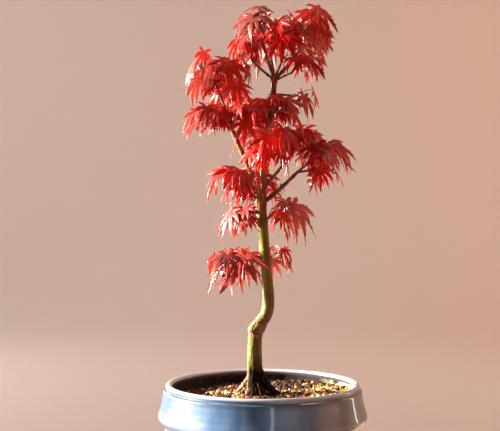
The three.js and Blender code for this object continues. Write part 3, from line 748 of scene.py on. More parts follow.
BOUGHS = (  # name, the height it leaves the trunk at, its tip, how it bows, its radii
    ("bough_left", 317, (-30, -4, 379), -3, (3.3, 2.4)),
    ("bough_right_low", 306, (34.4, -4, 337.5), -3, (2.5, 1.6)),
    ("bough_right_high", 319, (24.7, 7, 350), 1, (2.1, 1.4)),
    ("bough_top_left", 431, (1.5, -3, 461), 1, (1.9, 1.2)),
    ("bough_top_right", 430, (36.4, 1, 459), -2, (2, 1.2)),
    ("bough_top_far_left", 430, (-9.7, -6, 447.5), -1, (1.5, 1)),
    ("bough_top_back", 431, (8, 15, 460), 1, (1.7, 1.1)),
    ("bough_top_front", 431, (20, -13, 449), 0, (1.4, 0.9)),
    ("bough_top_low_right", 429, (29, -3, 437), 0, (1.2, 0.8)),
)
bough_lines = {
    name: bowed(trunk_at(height), np.array(tip, dtype=float), bow)
    for name, height, tip, bow, _ in BOUGHS
}
bough_radii = {name: tapered(radii) for name, _, _, _, radii in BOUGHS}
print("boughs:", len(bough_lines))

# %% [markdown]
# ## Bark with real relief
#
# Limbs that join must look grown together, with no seam. So each limb is a closed tube, made
# from a cylinder whose long edges are subdivided and whose rings are then carried along the
# limb's line. All the tubes overlap, and a voxel remesh fuses them into one skin. Smoothing
# rounds the joins as callus does, and after that every vertex moves in or out by noise.


# %% A tube along a line
def add_limb(bm, point_at, radius_at, steps, sides=12):
    """Bends a cylinder along a line. Both functions take a share of the way along."""
    before = len(bm.verts)
    bmesh.ops.create_cone(
        bm, cap_ends=True, segments=sides, radius1=1.0, radius2=1.0, depth=1.0,
    )
    bm.verts.ensure_lookup_table()
    tube = bm.verts[before:]
    long_edges = {
        edge for vert in tube for edge in vert.link_edges
        if abs(edge.verts[0].co.z - edge.verts[1].co.z) > 0.5
    }
    bmesh.ops.subdivide_edges(bm, edges=list(long_edges), cuts=steps - 1)
    bm.verts.ensure_lookup_table()
    points = [Vector(point_at(i / steps)) for i in range(steps + 1)]
    sideways, normals = Vector((1, 0.13, 0.07)), []
    for i in range(steps + 1):
        way = points[min(i + 1, steps)] - points[max(i - 1, 0)]
        way.normalize()
        sideways = (sideways - way * sideways.dot(way)).normalized()
        normals.append((sideways.copy(), way.cross(sideways)))
    for vert in bm.verts[before:]:
        i = round((vert.co.z + 0.5) * steps)
        across, over = normals[i]
        vert.co = points[i] + (across * vert.co.x + over * vert.co.y) * radius_at(i / steps)


def fused(bm, name, voxel, rounding):
    """Joins overlapping tubes into one skin, and returns it as a new bmesh."""
    bmesh.ops.recalc_face_normals(bm, faces=bm.faces)
    piece = linked(name, as_mesh(bm, name))
    remesh = piece.modifiers.new("one_skin", "REMESH")
    remesh.mode = "VOXEL"
    remesh.voxel_size = voxel
    smooth = piece.modifiers.new("rounding", "SMOOTH")
    smooth.factor = 0.5
    smooth.iterations = rounding
    skin = bmesh.new()
    skin.from_object(piece, bpy.context.evaluated_depsgraph_get())
    bpy.data.meshes.remove(piece.data)  # the object goes with it
    return skin


def carve(bm, depth_at):
    """Moves every vertex along its normal by what depth_at gives for its place."""
    bm.normal_update()
    moves = [(vert, vert.normal * depth_at(vert.co)) for vert in bm.verts]
    for vert, move in moves:
        vert.co += move


# %% [markdown]
# ## The foot
#
# Thick roots run out of the trunk's foot, fork once and sink into the grit, and they are fused
# with the trunk. Thinner ones clasp them and stand proud, with hollows in between. These are
# fused among themselves only, with a finer voxel, so that they stay crisp.

# %% Roots
ROOTS = (  # compass angle, reach, thickness
    (182, 24, 3), (222, 14, 2.2), (262, 17, 2.6), (300, 19, 2.4),
    (350, 27, 5.2), (32, 20, 3.2), (85, 18, 3), (138, 19, 2.8),
)
ROOT_CORNERS = ((0, 27), (0.3, 15), (0.62, 5), (1, -1.6))  # share of the reach, and height
ROOT_SHADE = (-0.012, -0.002)  # where their shaded side is, in metres to the right


def compass(turn):
    """A level direction, from its turn in radians."""
    return np.array([math.cos(turn), math.sin(turn), 0.0])


def root_line(angle, reach, rng):
    """The corners of a root: out of the trunk's foot, down, and under the grit at its end."""
    foot = trunk_at(GROUND)
    turn = math.radians(angle)
    corners = []
    for share, height in ROOT_CORNERS:
        way = compass(turn + rng.uniform(-0.12, 0.12) * share)
        corners.append(foot * (1, 1, 0) + way * reach * share + UP * (GROUND + height))
    return corners


def add_root(bm, corners, radii, steps, sides=12):
    add_limb(bm, lambda share: catmull_rom(corners, share), tapered(radii), steps, sides)


def add_roots(bm):
    rng = np.random.default_rng(3)
    for angle, reach, thick in ROOTS:
        corners = root_line(angle, reach, rng)
        add_root(bm, corners, (thick * 1.1, thick * 0.34), 14)
        for side in (-1, 1):
            start = catmull_rom(corners, rng.uniform(0.5, 0.66))
            turn = math.radians(angle + side * rng.uniform(24, 46))
            out = reach * rng.uniform(0.25, 0.5)
            end = start + compass(turn) * out
            end[2] = GROUND - 1.6
            fork = bowed(start, end, 1.2)
            add_limb(bm, fork.point, tapered((thick * 0.45, thick * 0.2)), 8)


def surface_roots():
    """Thin roots that clasp the foot, one on either side of each thick root."""
    rng = np.random.default_rng(8)
    bm = bmesh.new()
    for angle, reach, thick in ROOTS:
        for side in (-1, 1):
            aim = angle + side * rng.uniform(8, 17)
            corners = root_line(aim, reach * rng.uniform(0.8, 1.02), rng)
            corners[1:3] = [corner + UP * (0.5 * thick) for corner in corners[1:3]]
            add_root(bm, corners, (1.7, 0.8), 24, sides=8)
    skin = fused(bm, "surface_roots", voxel=0.36, rounding=3)
    carve(skin, lambda co: 0.35 * noise.noise(co * 0.7))
    return skin


def root_bark():
    finish = Finish("root_bark", Roughness=0.9, Specular_IOR_Level=0.2)
    flakes = finish.cloud(210, detail=5)
    flaky = finish.ramp(flakes, (0.36, 0x2A1409), (0.5, 0x6E4226), (0.62, 0xC8A47E))
    shade = finish.span(finish.aside(), *ROOT_SHADE)
    finish.set(Base_Color=finish.over(flaky, 0x3A140C, shade, 0.75))
    finish.bump(finish.cloud(900, detail=4), 0.0003, 0.6)
    return finish.material


# %% The old trunk with its left bough
SCAR_AT, SCAR_RADIUS = (-7.4, -0.5, 180.5), 7.2  # where an old branch was pruned
SMOOTH_ABOVE, FURROWED_BELOW = 168, 128
SCAR_HEIGHT, SCAR_SPREAD = 184, 8
# Where each kind of bark lies, in metres up and in metres to the right of the pot's axis
DARK_FOOT_UP, SCAR_UP = (0.124, 0.144), (0.170, 0.178, 0.190, 0.197)
FORK_UP = (0.296, 0.308, 0.318, 0.330)
LEADER_UP, LEADER_SIDE = (0.318, 0.345), (-0.006, -0.002)
BOUGH_UP, BOUGH_SIDE, PEELED_SUNLIT_SIDE = (0.325, 0.34), (-0.009, -0.005), (-0.018, -0.0125)


def bark_depth(co):
    """The bark's relief in millimetres: smooth when young, furrowed at the foot."""
    up = co.z
    old = min(1.0, max(0.0, (SMOOTH_ABOVE - up) / (SMOOTH_ABOVE - FURROWED_BELOW)))
    furrows = noise.noise(Vector((co.x * 0.55, co.y * 0.55, up * 0.09)))
    grain = noise.noise(Vector((co.x, co.y, up * 0.35)) * 1.3)
    warts = max(0.0, noise.noise(co * 0.9) - 0.35)
    scarred = math.exp(-(((up - SCAR_HEIGHT) / SCAR_SPREAD) ** 2))
    depth = 0.22 * furrows + 0.1 * grain + 0.35 * warts
    depth += old * (0.75 * furrows + 0.4 * grain)
    depth += scarred * 0.7 * noise.noise(co * 0.5)
    for ring, _, spread in TRUNK_NODES[1:]:
        depth -= 0.25 * math.exp(-(((up - ring) / (0.16 * spread)) ** 2))
    return depth


def old_wood():
    bm = bmesh.new()
    add_limb(bm, trunk_point, trunk_radius_along, steps=150, sides=24)
    add_limb(bm, bough_lines["bough_left"].point, bough_radii["bough_left"], steps=24)
    ball = bmesh.ops.create_icosphere(bm, subdivisions=4, radius=SCAR_RADIUS)["verts"]
    bmesh.ops.translate(bm, verts=ball, vec=SCAR_AT)
    add_roots(bm)
    skin = fused(bm, "old_wood", voxel=0.62, rounding=6)
    carve(skin, bark_depth)
    return skin


def young_tones(finish, *codes):
    """The streaked colour of young bark, from dark to light."""
    return finish.ramp(
        finish.cloud(300, detail=5, stretch=(1, 1, 0.4)), *zip((0.34, 0.55, 0.74), codes),
    )


def living_bark(finish, up, aside):
    """Green on the stem, with painted shade in a darker, redder brown on the side away from the
    sun, redder on young wood, and corky at the scar.
    """
    stripes = finish.cloud(260, detail=5, stretch=(1, 1, 0.16))
    skin = finish.ramp(stripes, (0.3, 0x565612), (0.5, 0x80862A), (0.7, 0xAEB466))
    patches = finish.patches(55, 0.46, 0.62, detail=5, stretch=(1, 1, 0.5))
    skin = finish.over(skin, 0x6E4A20, patches, 0.6)
    # Painted shade: the side that faces away from the sun turns a darker brown.
    painted_shade_side = finish.span(finish.facing((0.9, -0.4, 0)), -0.15, 0.5)
    skin = finish.over(skin, 0x62300A, painted_shade_side, 0.8)
    young = young_tones(finish, 0x541C0E, 0x8A3A1E, 0xAE6C40)
    leader = finish.times(finish.span(up, *LEADER_UP), finish.span(aside, *LEADER_SIDE))
    skin = finish.over(skin, young, leader, 0.95)
    skin = finish.over(skin, young, finish.band(up, *FORK_UP), 0.6)
    bough = finish.span(aside, *BOUGH_SIDE, 0.5, 0.0)
    skin = finish.over(skin, young, finish.span(up, *BOUGH_UP), bough)
    cork = finish.cloud(330, detail=6)
    corky = finish.ramp(cork, (0.35, 0x3E2214), (0.55, 0x865436), (0.7, 0xC99F7E))
    scar = finish.band(up, *SCAR_UP)
    return finish.over(skin, corky, scar, finish.patches(120, 0.4, 0.52))


def foot_bark_and_shade(finish, aside):
    """Almost black at the foot, partly its wet, dirty old bark and partly painted shade, and peeled
    pale on its sunny side, which is partly painted sunlight.
    """
    # Partly painted shade: the foot is made almost black, darker than its dirty bark alone.
    foot_tones = finish.cloud(240, detail=6, stretch=(1, 1, 0.4))
    old = finish.ramp(foot_tones, (0.3, 0x060302), (0.55, 0x170A05), (0.76, 0x402512))
    # Partly painted sunlight: the pale peeled patches are laid on the sunlit left side.
    peeled_and_sunlit = finish.patches(170, 0.4, 0.56, detail=5, stretch=(1, 1, 0.5))
    return finish.over(old, 0xC8A682, peeled_and_sunlit, finish.span(aside, *PEELED_SUNLIT_SIDE, 0.85, 0.0))


def bark():
    finish = Finish("green_bark", Specular_IOR_Level=0.25)
    up, aside = finish.height(), finish.aside()
    uneven = finish.times(finish.cloud(70, detail=4), 0.030)
    foot = finish.span(finish.maths("SUBTRACT", up, uneven), *DARK_FOOT_UP, 1.0, 0.0)
    skin = finish.mix(foot, living_bark(finish, up, aside), foot_bark_and_shade(finish, aside))
    finish.set(Base_Color=skin, Roughness=finish.span(foot, 0, 1, 0.5, 1.0))
    finish.bump(finish.cloud(700, detail=5, stretch=(1, 1, 0.3)), 0.0004, 0.8)
    return finish.material


dressed(finished(old_wood(), "barked_trunk", [bark()]), "bark", "trunk", "bough_left")
dressed(finished(surface_roots(), "surface_roots", [root_bark()]), "bark", "trunk")

# %% [markdown]
# ## The young boughs
#
# The boughs at the fork and at the top are a year or two old. Their bark is still thin, dark
# and reddish, with a swelling at each node, where last year's bud scales stood. They are
# fused by the same remesh, with a smaller voxel, and their roots are sunk in the trunk.


# %% The young boughs
def ringed(radius_at, rings=(0.3, 0.62, 0.9)):
    """Adds a swelling to a limb at a few shares of the way along."""
    def radius(share):
        swell = sum(math.exp(-(((share - ring) / 0.04) ** 2)) for ring in rings)
        return radius_at(share) * (1 + 0.22 * swell)
    return radius


def young_depth(co):
    grain = noise.noise(Vector((co.x, co.y, co.z * 0.4)) * 1.6)
    return 0.1 * grain + 0.06 * noise.noise(co * 3.1)


def young_wood(names):
    bm = bmesh.new()
    for name in names:
        add_limb(bm, bough_lines[name].point, ringed(bough_radii[name]), steps=26)
    skin = fused(bm, "young_wood", voxel=0.4, rounding=3)
    carve(skin, young_depth)
    return skin


def young_bark(name, *codes):
    finish = Finish(name, Roughness=0.5, Coat_Weight=0.2, Coat_Roughness=0.3)
    dots = finish.specks(900, 0.22)
    finish.set(Base_Color=finish.over(young_tones(finish, *codes), 0xB79A7A, dots, 0.4))
    return finish.material


young_names = [name for name in bough_lines if name != "bough_left"]
bough_bark = young_bark("bough_bark", 0x3C1610, 0x6A3020, 0x93664A)
dressed(finished(young_wood(young_names), "young_boughs", [bough_bark]), "young_bark", *young_names)


# %% [markdown]
# ## How the foliage grows
#
# Each mass of foliage is one stem that bears side twigs and opposite pairs of leaves. The same
# dice as for the grit throws each twig and leaf, and a throw is kept only where it
# stays in the mass's own space and touches nothing that has grown before. Shapes are tested as
# rows of beads, because the distance between two beads is quick to find. This is the rule that
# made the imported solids, so the leaves here hang where the solids hang.

# %% The masses
MASSES = (  # name, what it grows on, reach, bow, pairs, twigs, space, leaf, droop, seed
    ("foliage_lowest_left", 250, (-30, -12, 252), 8, 2, 2,
     (-58, -50, 205), (6, 36, 263), 37, 58, 75),
    ("foliage_lowest_right", 247, (14, 18, 256), 3, 2, 0,
     (-22, 0, 222), (34, 60, 265), 30, 58, 18),
    ("foliage_low_left", 288, (-15, -6, 294), 2, 1, 0,
     (-52, -40, 266), (4, 40, 306), 34, 45, 3),
    ("foliage_low_right", 287, (16, -6, 298), 2, 1, 0,
     (4, -44, 256), (62, 40, 314), 42, 50, 37),
    ("foliage_middle_left", 306, (-28, -8, 330), 3, 2, 1,
     (-60, -50, 298), (0, 30, 345), 34, 50, 42),
    ("foliage_middle_back", 304, (-8, 26, 328), 3, 2, 1,
     (-50, 4, 286), (34, 66, 346), 34, 50, 52),
    ("foliage_right_outer", "bough_right_low", (60, -4, 356), 2, 2, 0,
     (30, -44, 331), (97, 40, 374), 40, 40, 41),
    ("foliage_right_droop", "bough_right_low", (54, -10, 339), 1, 1, 0,
     (42, -40, 309), (80, 14, 346), 28, 60, 87),
    ("foliage_right_inner", "bough_right_high", (42, 8, 372), 2, 2, 1,
     (10, -24, 338), (70, 54, 388), 34, 50, 10),
    ("foliage_centre_low", 338, (14, -22, 366), 2, 2, 1,
     (-22, -58, 326), (38, 0, 386), 36, 60, 34),
    ("foliage_centre_low_back", 342, (-2, 24, 364), 2, 2, 0,
     (-34, 2, 322), (34, 62, 386), 34, 55, 74),
    ("foliage_centre_left", 376, (-14, -14, 396), 2, 2, 0,
     (-36, -50, 356), (12, 30, 412), 34, 60, 68),
    ("foliage_centre_right", 384, (16, -16, 404), 2, 2, 0,
     (-6, -52, 366), (44, 20, 414), 32, 55, 84),
    ("foliage_centre_back", 380, (2, 26, 404), 2, 2, 0,
     (-34, 2, 364), (44, 62, 420), 32, 55, 70),
    ("foliage_right_small", 416, (34, -2, 414), 0, 1, 0,
     (10, -36, 374), (57, 34, 424), 30, 60, 87),
    ("foliage_far_left", "bough_left", (-54, -8, 394), 2, 2, 0,
     (-84, -44, 366), (-30, 34, 408), 30, 50, 67),
    ("foliage_upper_inner", "bough_left", (-31, -14, 432), 2, 2, 2,
     (-58, -50, 386), (-8, 16, 452), 33, 58, 24),
    ("foliage_upper_left", "bough_left", (-54, -6, 444), 4, 2, 2,
     (-78, -46, 402), (-28, 40, 473), 34, 60, 15),
    ("foliage_upper_back", "bough_left", (-34, 22, 424), 2, 2, 1,
     (-66, 4, 384), (-6, 60, 452), 36, 55, 13),
    ("foliage_top_far_left", "bough_top_far_left", (-17, -8, 464), 1, 2, 0,
     (-44, -46, 424), (0, 24, 482), 36, 66, 75),
    ("foliage_top_left", "bough_top_left", (-4, -8, 484), 1, 2, 1,
     (-34, -46, 452), (22, 30, 501), 34, 40, 67),
    ("foliage_top_front", "bough_top_front", (18, -22, 474), 1, 2, 1,
     (-6, -60, 436), (44, -2, 494), 36, 62, 86),
    ("foliage_top_right", "bough_top_right", (46, 0, 486), 1, 2, 2,
     (16, -46, 442), (77, 40, 509), 36, 55, 40),
    ("foliage_top_back", "bough_top_back", (12, 30, 482), 1, 2, 2,
     (-32, 6, 434), (54, 68, 502), 36, 50, 31),
    ("foliage_top_low_right", "bough_top_low_right", (40, -5, 447), 1, 1, 0,
     (18, -40, 414), (68, 36, 460), 34, 50, 11),
)


Mass = namedtuple("Mass", "name stem pairs twigs low high leaf droop seed")


def planted(name, on, reach, bow, pairs, twigs, low, high, leaf, droop, seed):
    """A mass of foliage from its row, with the stem that bears it."""
    start = bough_lines[on].point(1.0) if isinstance(on, str) else trunk_at(on)
    stem = bowed(start, np.array(reach, dtype=float), bow)
    low, high = np.array(low, dtype=float), np.array(high, dtype=float)
    return Mass(name, stem, pairs, twigs, low, high, leaf, droop, seed)


masses = [planted(*row) for row in MASSES]
print("masses of foliage:", len(masses))


# %% A leaf's blade
LOBE_ANGLES = (-116, -76, -37, 0, 37, 76, 116)
LOBE_LENGTHS = (0.42, 0.76, 0.95, 1, 0.95, 0.76, 0.42)
SAG = 0.75  # how far a level lobe has bent down at its tip, in radians
FOLD = 0.22  # how far a lobe's edges stand above its midrib


class Leaf:
    """A leaf: its foot on the shoot, its heel, the way it points and the way it faces."""

    def __init__(self, foot, heel, axis, normal, length):
        self.foot, self.heel, self.axis, self.normal = foot, heel, axis, normal
        self.length = length
        self.sideways = np.cross(normal, axis)

    def points(self, angle, far, aside=0.0, above=0.0, sag=SAG, fold=FOLD):
        """Points of the blade, "far" out along the lobe at "angle" in radians."""
        angle, far, aside, above = np.broadcast_arrays(
            *(np.asarray(value, dtype=float)[..., None] for value in (angle, far, aside, above))
        )
        way = np.cos(angle) * self.axis + np.sin(angle) * self.sideways
        fall = way * way[..., 2:] - UP
        slope = np.linalg.norm(fall, axis=-1, keepdims=True)
        fall = fall / np.maximum(slope, 1e-9)
        bend = np.maximum(1e-6, sag * slope * far / self.length)
        point = self.heel + way * (far * np.sin(bend) / bend)
        point = point + fall * (far * (1 - np.cos(bend)) / bend)
        heading = way * np.cos(bend) + fall * np.sin(bend)
        across = np.cross(self.normal, heading)
        across = across / np.linalg.norm(across, axis=-1, keepdims=True)
        face = np.cross(heading, across)
        return point + across * aside + face * (above + fold * np.abs(aside))


# %% Beads
BEADS_OUT = np.array([0.35, 0.55, 0.75, 0.94])
BEAD_RADII = np.array([0.07, 0.075, 0.06, 0.03])
HEEL_BEAD = 0.09
STALK_RADIUS = 0.5
BEAD_ANGLES = np.repeat(np.radians(LOBE_ANGLES), len(BEADS_OUT))
BEAD_FAR = np.outer(LOBE_LENGTHS, BEADS_OUT).ravel()


def leaf_beads(leaf):
    lobes = leaf.points(BEAD_ANGLES, BEAD_FAR * leaf.length)
    stalk = [leaf.foot + (leaf.heel - leaf.foot) * share for share in (0.5, 0.8)]
    radii = np.concatenate(
        [[HEEL_BEAD], np.tile(BEAD_RADII, len(LOBE_ANGLES)), [0, 0]]
    ) * leaf.length
    radii[-2:] = STALK_RADIUS
    return np.vstack([leaf.heel, lobes, *stalk]), radii


def limb_beads(point_at, radius_at, count):
    at = np.array([point_at(i / count) for i in range(count + 1)])
    return at, np.array([radius_at(i / count) for i in range(count + 1)])


class Grown:
    """Everything that has grown so far, as beads, each with the number of its mass."""

    BRUSH = 0.75  # how close leaves of one mass may come, as a share of their radii
    REACH = 16.0  # no two beads further apart than this can touch

    def __init__(self):
        self.at = np.zeros((0, 3))
        self.radius = np.zeros(0)
        self.mass = np.zeros(0, dtype=int)

    def add(self, beads, number=-1):
        self.at = np.vstack([self.at, beads[0]])
        self.radius = np.concatenate([self.radius, beads[1]])
        self.mass = np.concatenate([self.mass, np.full(len(beads[1]), number)])

    def has_room(self, beads, mass, number):
        """True if every bead lies in the mass's space and clear of all that has grown."""
        at, radius = beads
        if not ((at > mass.low) & (at < mass.high)).all():
            return False
        low, high = at.min(axis=0) - self.REACH, at.max(axis=0) + self.REACH
        close = ((self.at > low) & (self.at < high)).all(axis=1)
        room = radius[:, None] + self.radius[None, close]
        room = room * np.where(self.mass[close] == number, self.BRUSH, 1.0) + GAP
        apart = at[:, None, :] - self.at[None, close, :]
        return bool(((apart * apart).sum(axis=2) > room * room).all())


# %% Throwing twigs and leaves
STEM_RADII, TWIG_RADII = tapered((1.3, 0.8)), tapered((0.9, 0.7))
TRIES = 24
LEAFY = 0.6  # the share of a shoot that bears leaves


def throw_leaf(mass, foot, way, dice):
    rise = unit(way + UP * dice.between((0, 0.45)))
    length = mass.leaf * dice.between((0.82, 1.12))
    heel = foot + rise * (mass.leaf * dice.between((0.3, 0.7)))
    flat = unit(rise * (1, 1, 0))
    turn = math.radians(dice.between((-45, 45)))
    cos, sin = math.cos(turn), math.sin(turn)
    heading = np.array([flat[0] * cos - flat[1] * sin, flat[0] * sin + flat[1] * cos, 0.0])
    pitch = math.radians(mass.droop + dice.between((-20, 20)))
    axis = heading * math.cos(pitch) - UP * math.sin(pitch)
    level = heading * math.sin(pitch) + UP * math.cos(pitch)
    tilt = math.radians(dice.between((-25, 25)))
    normal = level * math.cos(tilt) + np.cross(axis, level) * math.sin(tilt)
    return Leaf(foot, heel, axis, normal, length)


def throw_twig(mass, side, dice):
    share = dice.between((0.3, 0.8))
    foot, along = mass.stem.point(share), mass.stem.way(share)
    sideways = unit(np.cross(UP, along))
    spread = math.radians(50 * dice.between((0.6, 1.4)) * side)
    way = along * math.cos(spread) + sideways * math.sin(spread)
    way = unit(way + UP * dice.between((-0.2, 0.5)))
    length = mass.leaf * 0.55 * dice.between((0.6, 1.3))
    return bowed(foot, foot + way * length, 0.08 * length)


def placed(mass, number, grown, toss, beads_of):
    """Throws until a shape fits and keeps its beads, or gives up."""
    for _ in range(TRIES):
        shape = toss()
        beads = beads_of(shape)
        if grown.has_room(beads, mass, number):
            grown.add(beads, number)
            return [shape]
    return []


def twigs_of(mass, number, grown):
    def free_beads(twig):
        at, radius = limb_beads(twig.point, TWIG_RADII, 6)
        return at[3:], radius[3:]

    twigs = []
    for i in range(mass.twigs):
        dice = Dice(mass.seed * 1000 + 900 + i)
        toss = lambda: throw_twig(mass, -1 if i % 2 else 1, dice)
        twigs += placed(mass, number, grown, toss, free_beads)
    return twigs


def leaves_of(mass, number, grown, shoot, pairs, seed, start=0.0):
    """A shoot's leaves, in opposite pairs that stand square to each other."""
    leaves = []
    for pair in range(pairs):
        share = 1 - ((pair + start) / pairs) * LEAFY
        foot, along = shoot.point(share), shoot.way(share)
        sideways = unit(np.cross(UP, along))
        upward = np.cross(along, sideways)
        turn = math.radians(pair * 90 + 20)
        across = sideways * math.cos(turn) + upward * math.sin(turn)
        ways = [along * 0.5 + across, along * 0.5 - across]
        if pair == 0 and start == 0:
            ways.insert(0, along)
        for i, way in enumerate(ways):
            dice = Dice(seed * 100 + pair * 10 + i)
            toss = lambda: throw_leaf(mass, foot, way, dice)
            leaves += placed(mass, number, grown, toss, leaf_beads)
    return leaves


# %% Growing every mass
Shoot = namedtuple("Shoot", "mass line radii leaves")  # a stem or twig with its leaves


def start_growth():
    """The beads of the trunk, the boughs and every mass's stem."""
    grown = Grown()
    grown.add(limb_beads(trunk_point, trunk_radius_along, 160))
    for name, line in bough_lines.items():
        grown.add(limb_beads(line.point, bough_radii[name], 24))
    for number, mass in enumerate(masses):
        at, radius = limb_beads(mass.stem.point, STEM_RADII, 16)
        grown.add((at[4:], radius[4:]), number)
    return grown


def grow(grown):
    shoots = []
    for number, mass in enumerate(masses):
        twigs = twigs_of(mass, number, grown)
        own = leaves_of(mass, number, grown, mass.stem, mass.pairs, mass.seed * 10)
        shoots.append(Shoot(number, mass.stem, STEM_RADII, own))
        for i, twig in enumerate(twigs):
            leaves = leaves_of(mass, number, grown, twig, 1, mass.seed * 10 + i + 1)
            if leaves:
                shoots.append(Shoot(number, twig, TWIG_RADII, leaves))
    return shoots


grown = start_growth()
shoots = grow(grown)
print("shoots:", len(shoots), "leaves:", sum(len(shoot.leaves) for shoot in shoots))

# %% [markdown]
# ## Finer growth
#
# A real mass is denser than its solid. So the same rule is carried on: each shoot gets a few
# finer twigs and pairs of smaller leaves wherever there is still room in the mass's space.
# Nothing reaches further than before, and where the crown is open it stays open.


# %% Finer twigs and leaves
FINE_TWIGS, FINE_PAIRS, FINE_RADII = 2, 2, tapered((0.65, 0.5))


def grow_finer(grown, shoots, size, first_seed):
    """Treats each shoot as the stem of a small mass, in the space of its own mass."""
    finer = []
    for i, shoot in enumerate(shoots):
        mass = masses[shoot.mass]
        fine = mass._replace(
            stem=shoot.line, twigs=FINE_TWIGS, leaf=mass.leaf * size, seed=first_seed + i,
        )
        shoot.leaves.extend(
            leaves_of(fine, shoot.mass, grown, fine.stem, FINE_PAIRS, fine.seed * 10 + 5, 0.5)
        )
        for j, twig in enumerate(twigs_of(fine, shoot.mass, grown)):
            leaves = leaves_of(fine, shoot.mass, grown, twig, 1, fine.seed * 10 + 6 + j)
            if leaves:
                finer.append(Shoot(shoot.mass, twig, FINE_RADII, leaves))
    return finer


shoots += grow_finer(grown, shoots, size=0.66, first_seed=214)
shoots += grow_finer(grown, shoots, size=0.5, first_seed=5262)
leaves = [leaf for shoot in shoots for leaf in shoot.leaves]
mass_names = [mass.name for mass in masses]
print("shoots:", len(shoots), "leaves:", len(leaves))

# %% [markdown]
# ## Twigs, stalks and buds
#
# The twigs are slim tubes with a ring at each pair of leaves and a small pointed bud at the
# end. Leaf stalks are thinner, dark red, swollen where they clasp the twig, and arch a little
# under the weight of the blade. Twigs are one joined mesh and stalks another.


# %% Twigs
def add_bud(bm, at, way, size):
    """A pointed bud: a small ball drawn out along the shoot."""
    turn = Vector((0, 0, 1)).rotation_difference(Vector(way)).to_matrix().to_4x4()
    matrix = Matrix.Translation(Vector(at)) @ turn @ Matrix.Diagonal((size, size, size * 2.1, 1))
    bmesh.ops.create_icosphere(bm, subdivisions=1, radius=1.0, matrix=matrix)


def add_twigs():
    bm = bmesh.new()
    for shoot in shoots:
        rings = (0.22, 1 - LEAFY, 1 - LEAFY / 2, 0.97)
        add_limb(bm, shoot.line.point, ringed(shoot.radii, rings), steps=16, sides=8)
        tip, way = shoot.line.point(1.0), shoot.line.way(1.0)
        add_bud(bm, tip + way * 0.9, way, shoot.radii(1.0) * 0.95)
        side = unit(np.cross(UP, way))
        for sign in (1, -1):
            add_bud(bm, tip + side * sign * 0.9, unit(way + side * sign), shoot.radii(1.0) * 0.6)
    bmesh.ops.recalc_face_normals(bm, faces=bm.faces)
    bark_of_twigs = young_bark("twig_bark", 0x35130F, 0x6B2A22, 0x94603F)
    dressed(finished(bm, "twigs", [bark_of_twigs]), "young_bark", *mass_names)


add_twigs()


# %% Stalks
STALK_ARCH = 0.1


def add_stalks():
    bm = bmesh.new()
    for leaf in leaves:
        run = float(np.linalg.norm(leaf.heel - leaf.foot))
        line = bowed(leaf.foot, leaf.heel, 2 * STALK_ARCH * run)
        thick = leaf.length / 36
        radius = lambda share: thick * (0.5 - 0.1 * share + 0.5 * math.exp(-((share / 0.1) ** 2)))
        add_limb(bm, line.point, radius, steps=9, sides=6)
    bmesh.ops.recalc_face_normals(bm, faces=bm.faces)
    finish = Finish("red_stalk", 0x6E1420, Roughness=0.4, Coat_Weight=0.2)
    dressed(finished(bm, "leaf_stalks", [finish.material]), "leaf", *mass_names)


add_stalks()

# %% [markdown]
# ## One maple leaf, flat
#
# The leaf has five long lobes and two small ones by its stalk, all with saw teeth. It is made
# flat, one unit long, from its midribs: a chain of vertices is extruded for a midrib, and the
# chain's edges are extruded sideways to a narrow rib and then to the toothed edge. Where two
# lobes meet, their edges lie on one line, and merging the doubles closes the web between them.

# %% The outline of a lobe
CLEFTS = (0.07, 0.15, 0.2, 0.22, 0.22, 0.2, 0.15, 0.07)  # before each lobe, and after the last
OUTER_TURN = 26  # degrees from a small lobe to the leaf's open back edge
LOBE_WIDTHS = (0.055, 0.084, 0.098, 0.102, 0.098, 0.084, 0.055)
OUTLINE_AT = (0.0, 0.2, 0.38, 0.55, 0.72, 0.87, 1.0)
OUTLINE_WIDTH = (1.0, 0.98, 1.0, 0.85, 0.5, 0.17, 0.0)
WEB_ROWS, FREE_ROWS, SMALL_ROWS = 2, 11, 6
RIB_WIDTH = 0.0085
TOOTH_OUT, NOTCH_IN = 0.016, 0.008  # how far a tooth's point and the notch behind it are moved
TOOTH_WIDE, NOTCH_WIDE = 1.1, 0.9  # their shares of the lobe's width
WEB_FADE = 0.3  # the share of a lobe over which the web's width fades out


def lobe_stations(i):
    """For each row of a lobe: how far out its midrib is, and its edge on either side."""
    length, width = LOBE_LENGTHS[i], LOBE_WIDTHS[i]
    turns = [OUTER_TURN, *(np.diff(LOBE_ANGLES) / 2), OUTER_TURN]
    rows = SMALL_ROWS if length < 0.5 else FREE_ROWS
    start = (CLEFTS[i] + CLEFTS[i + 1]) / 2
    middles = [start * k / WEB_ROWS for k in range(WEB_ROWS + 1)]
    middles += [start + (length - start) * k / rows for k in range(1, rows + 1)]
    edges = []
    for side, cleft, turn in ((-1, CLEFTS[i], turns[i]), (1, CLEFTS[i + 1], turns[i + 1])):
        turn = math.radians(turn)
        line = [(cleft * k / WEB_ROWS) for k in range(WEB_ROWS + 1)]
        edge = [(far * math.cos(turn), side * far * math.sin(turn)) for far in line]
        at_cleft = cleft * math.sin(turn)
        for k in range(1, rows):
            share = k / rows
            wide = np.interp(share, OUTLINE_AT, OUTLINE_WIDTH)
            blend = max(0.0, 1 - share / WEB_FADE)
            half = wide * width * (1 - blend) + at_cleft * blend
            moved, widened = (TOOTH_OUT, TOOTH_WIDE) if k % 2 else (-NOTCH_IN, NOTCH_WIDE)
            edge.append((middles[WEB_ROWS + k] + moved, side * half * widened))
        edge.append((length, 0.0))
        edges.append(edge)
    return middles, edges


# %% The flat leaf
BLADE_SLOT, RIB_SLOT = 0, 2  # the slots after these are for the under side


def midrib(bm, middles):
    """A chain of vertices, each extruded from the one before."""
    chain = [bm.verts.new((0, 0, 0))]
    for far in middles[1:]:
        tip = bmesh.ops.extrude_vert_indiv(bm, verts=[chain[-1]])["verts"][0]
        tip.co = (far, 0, 0)
        chain.append(tip)
    return chain


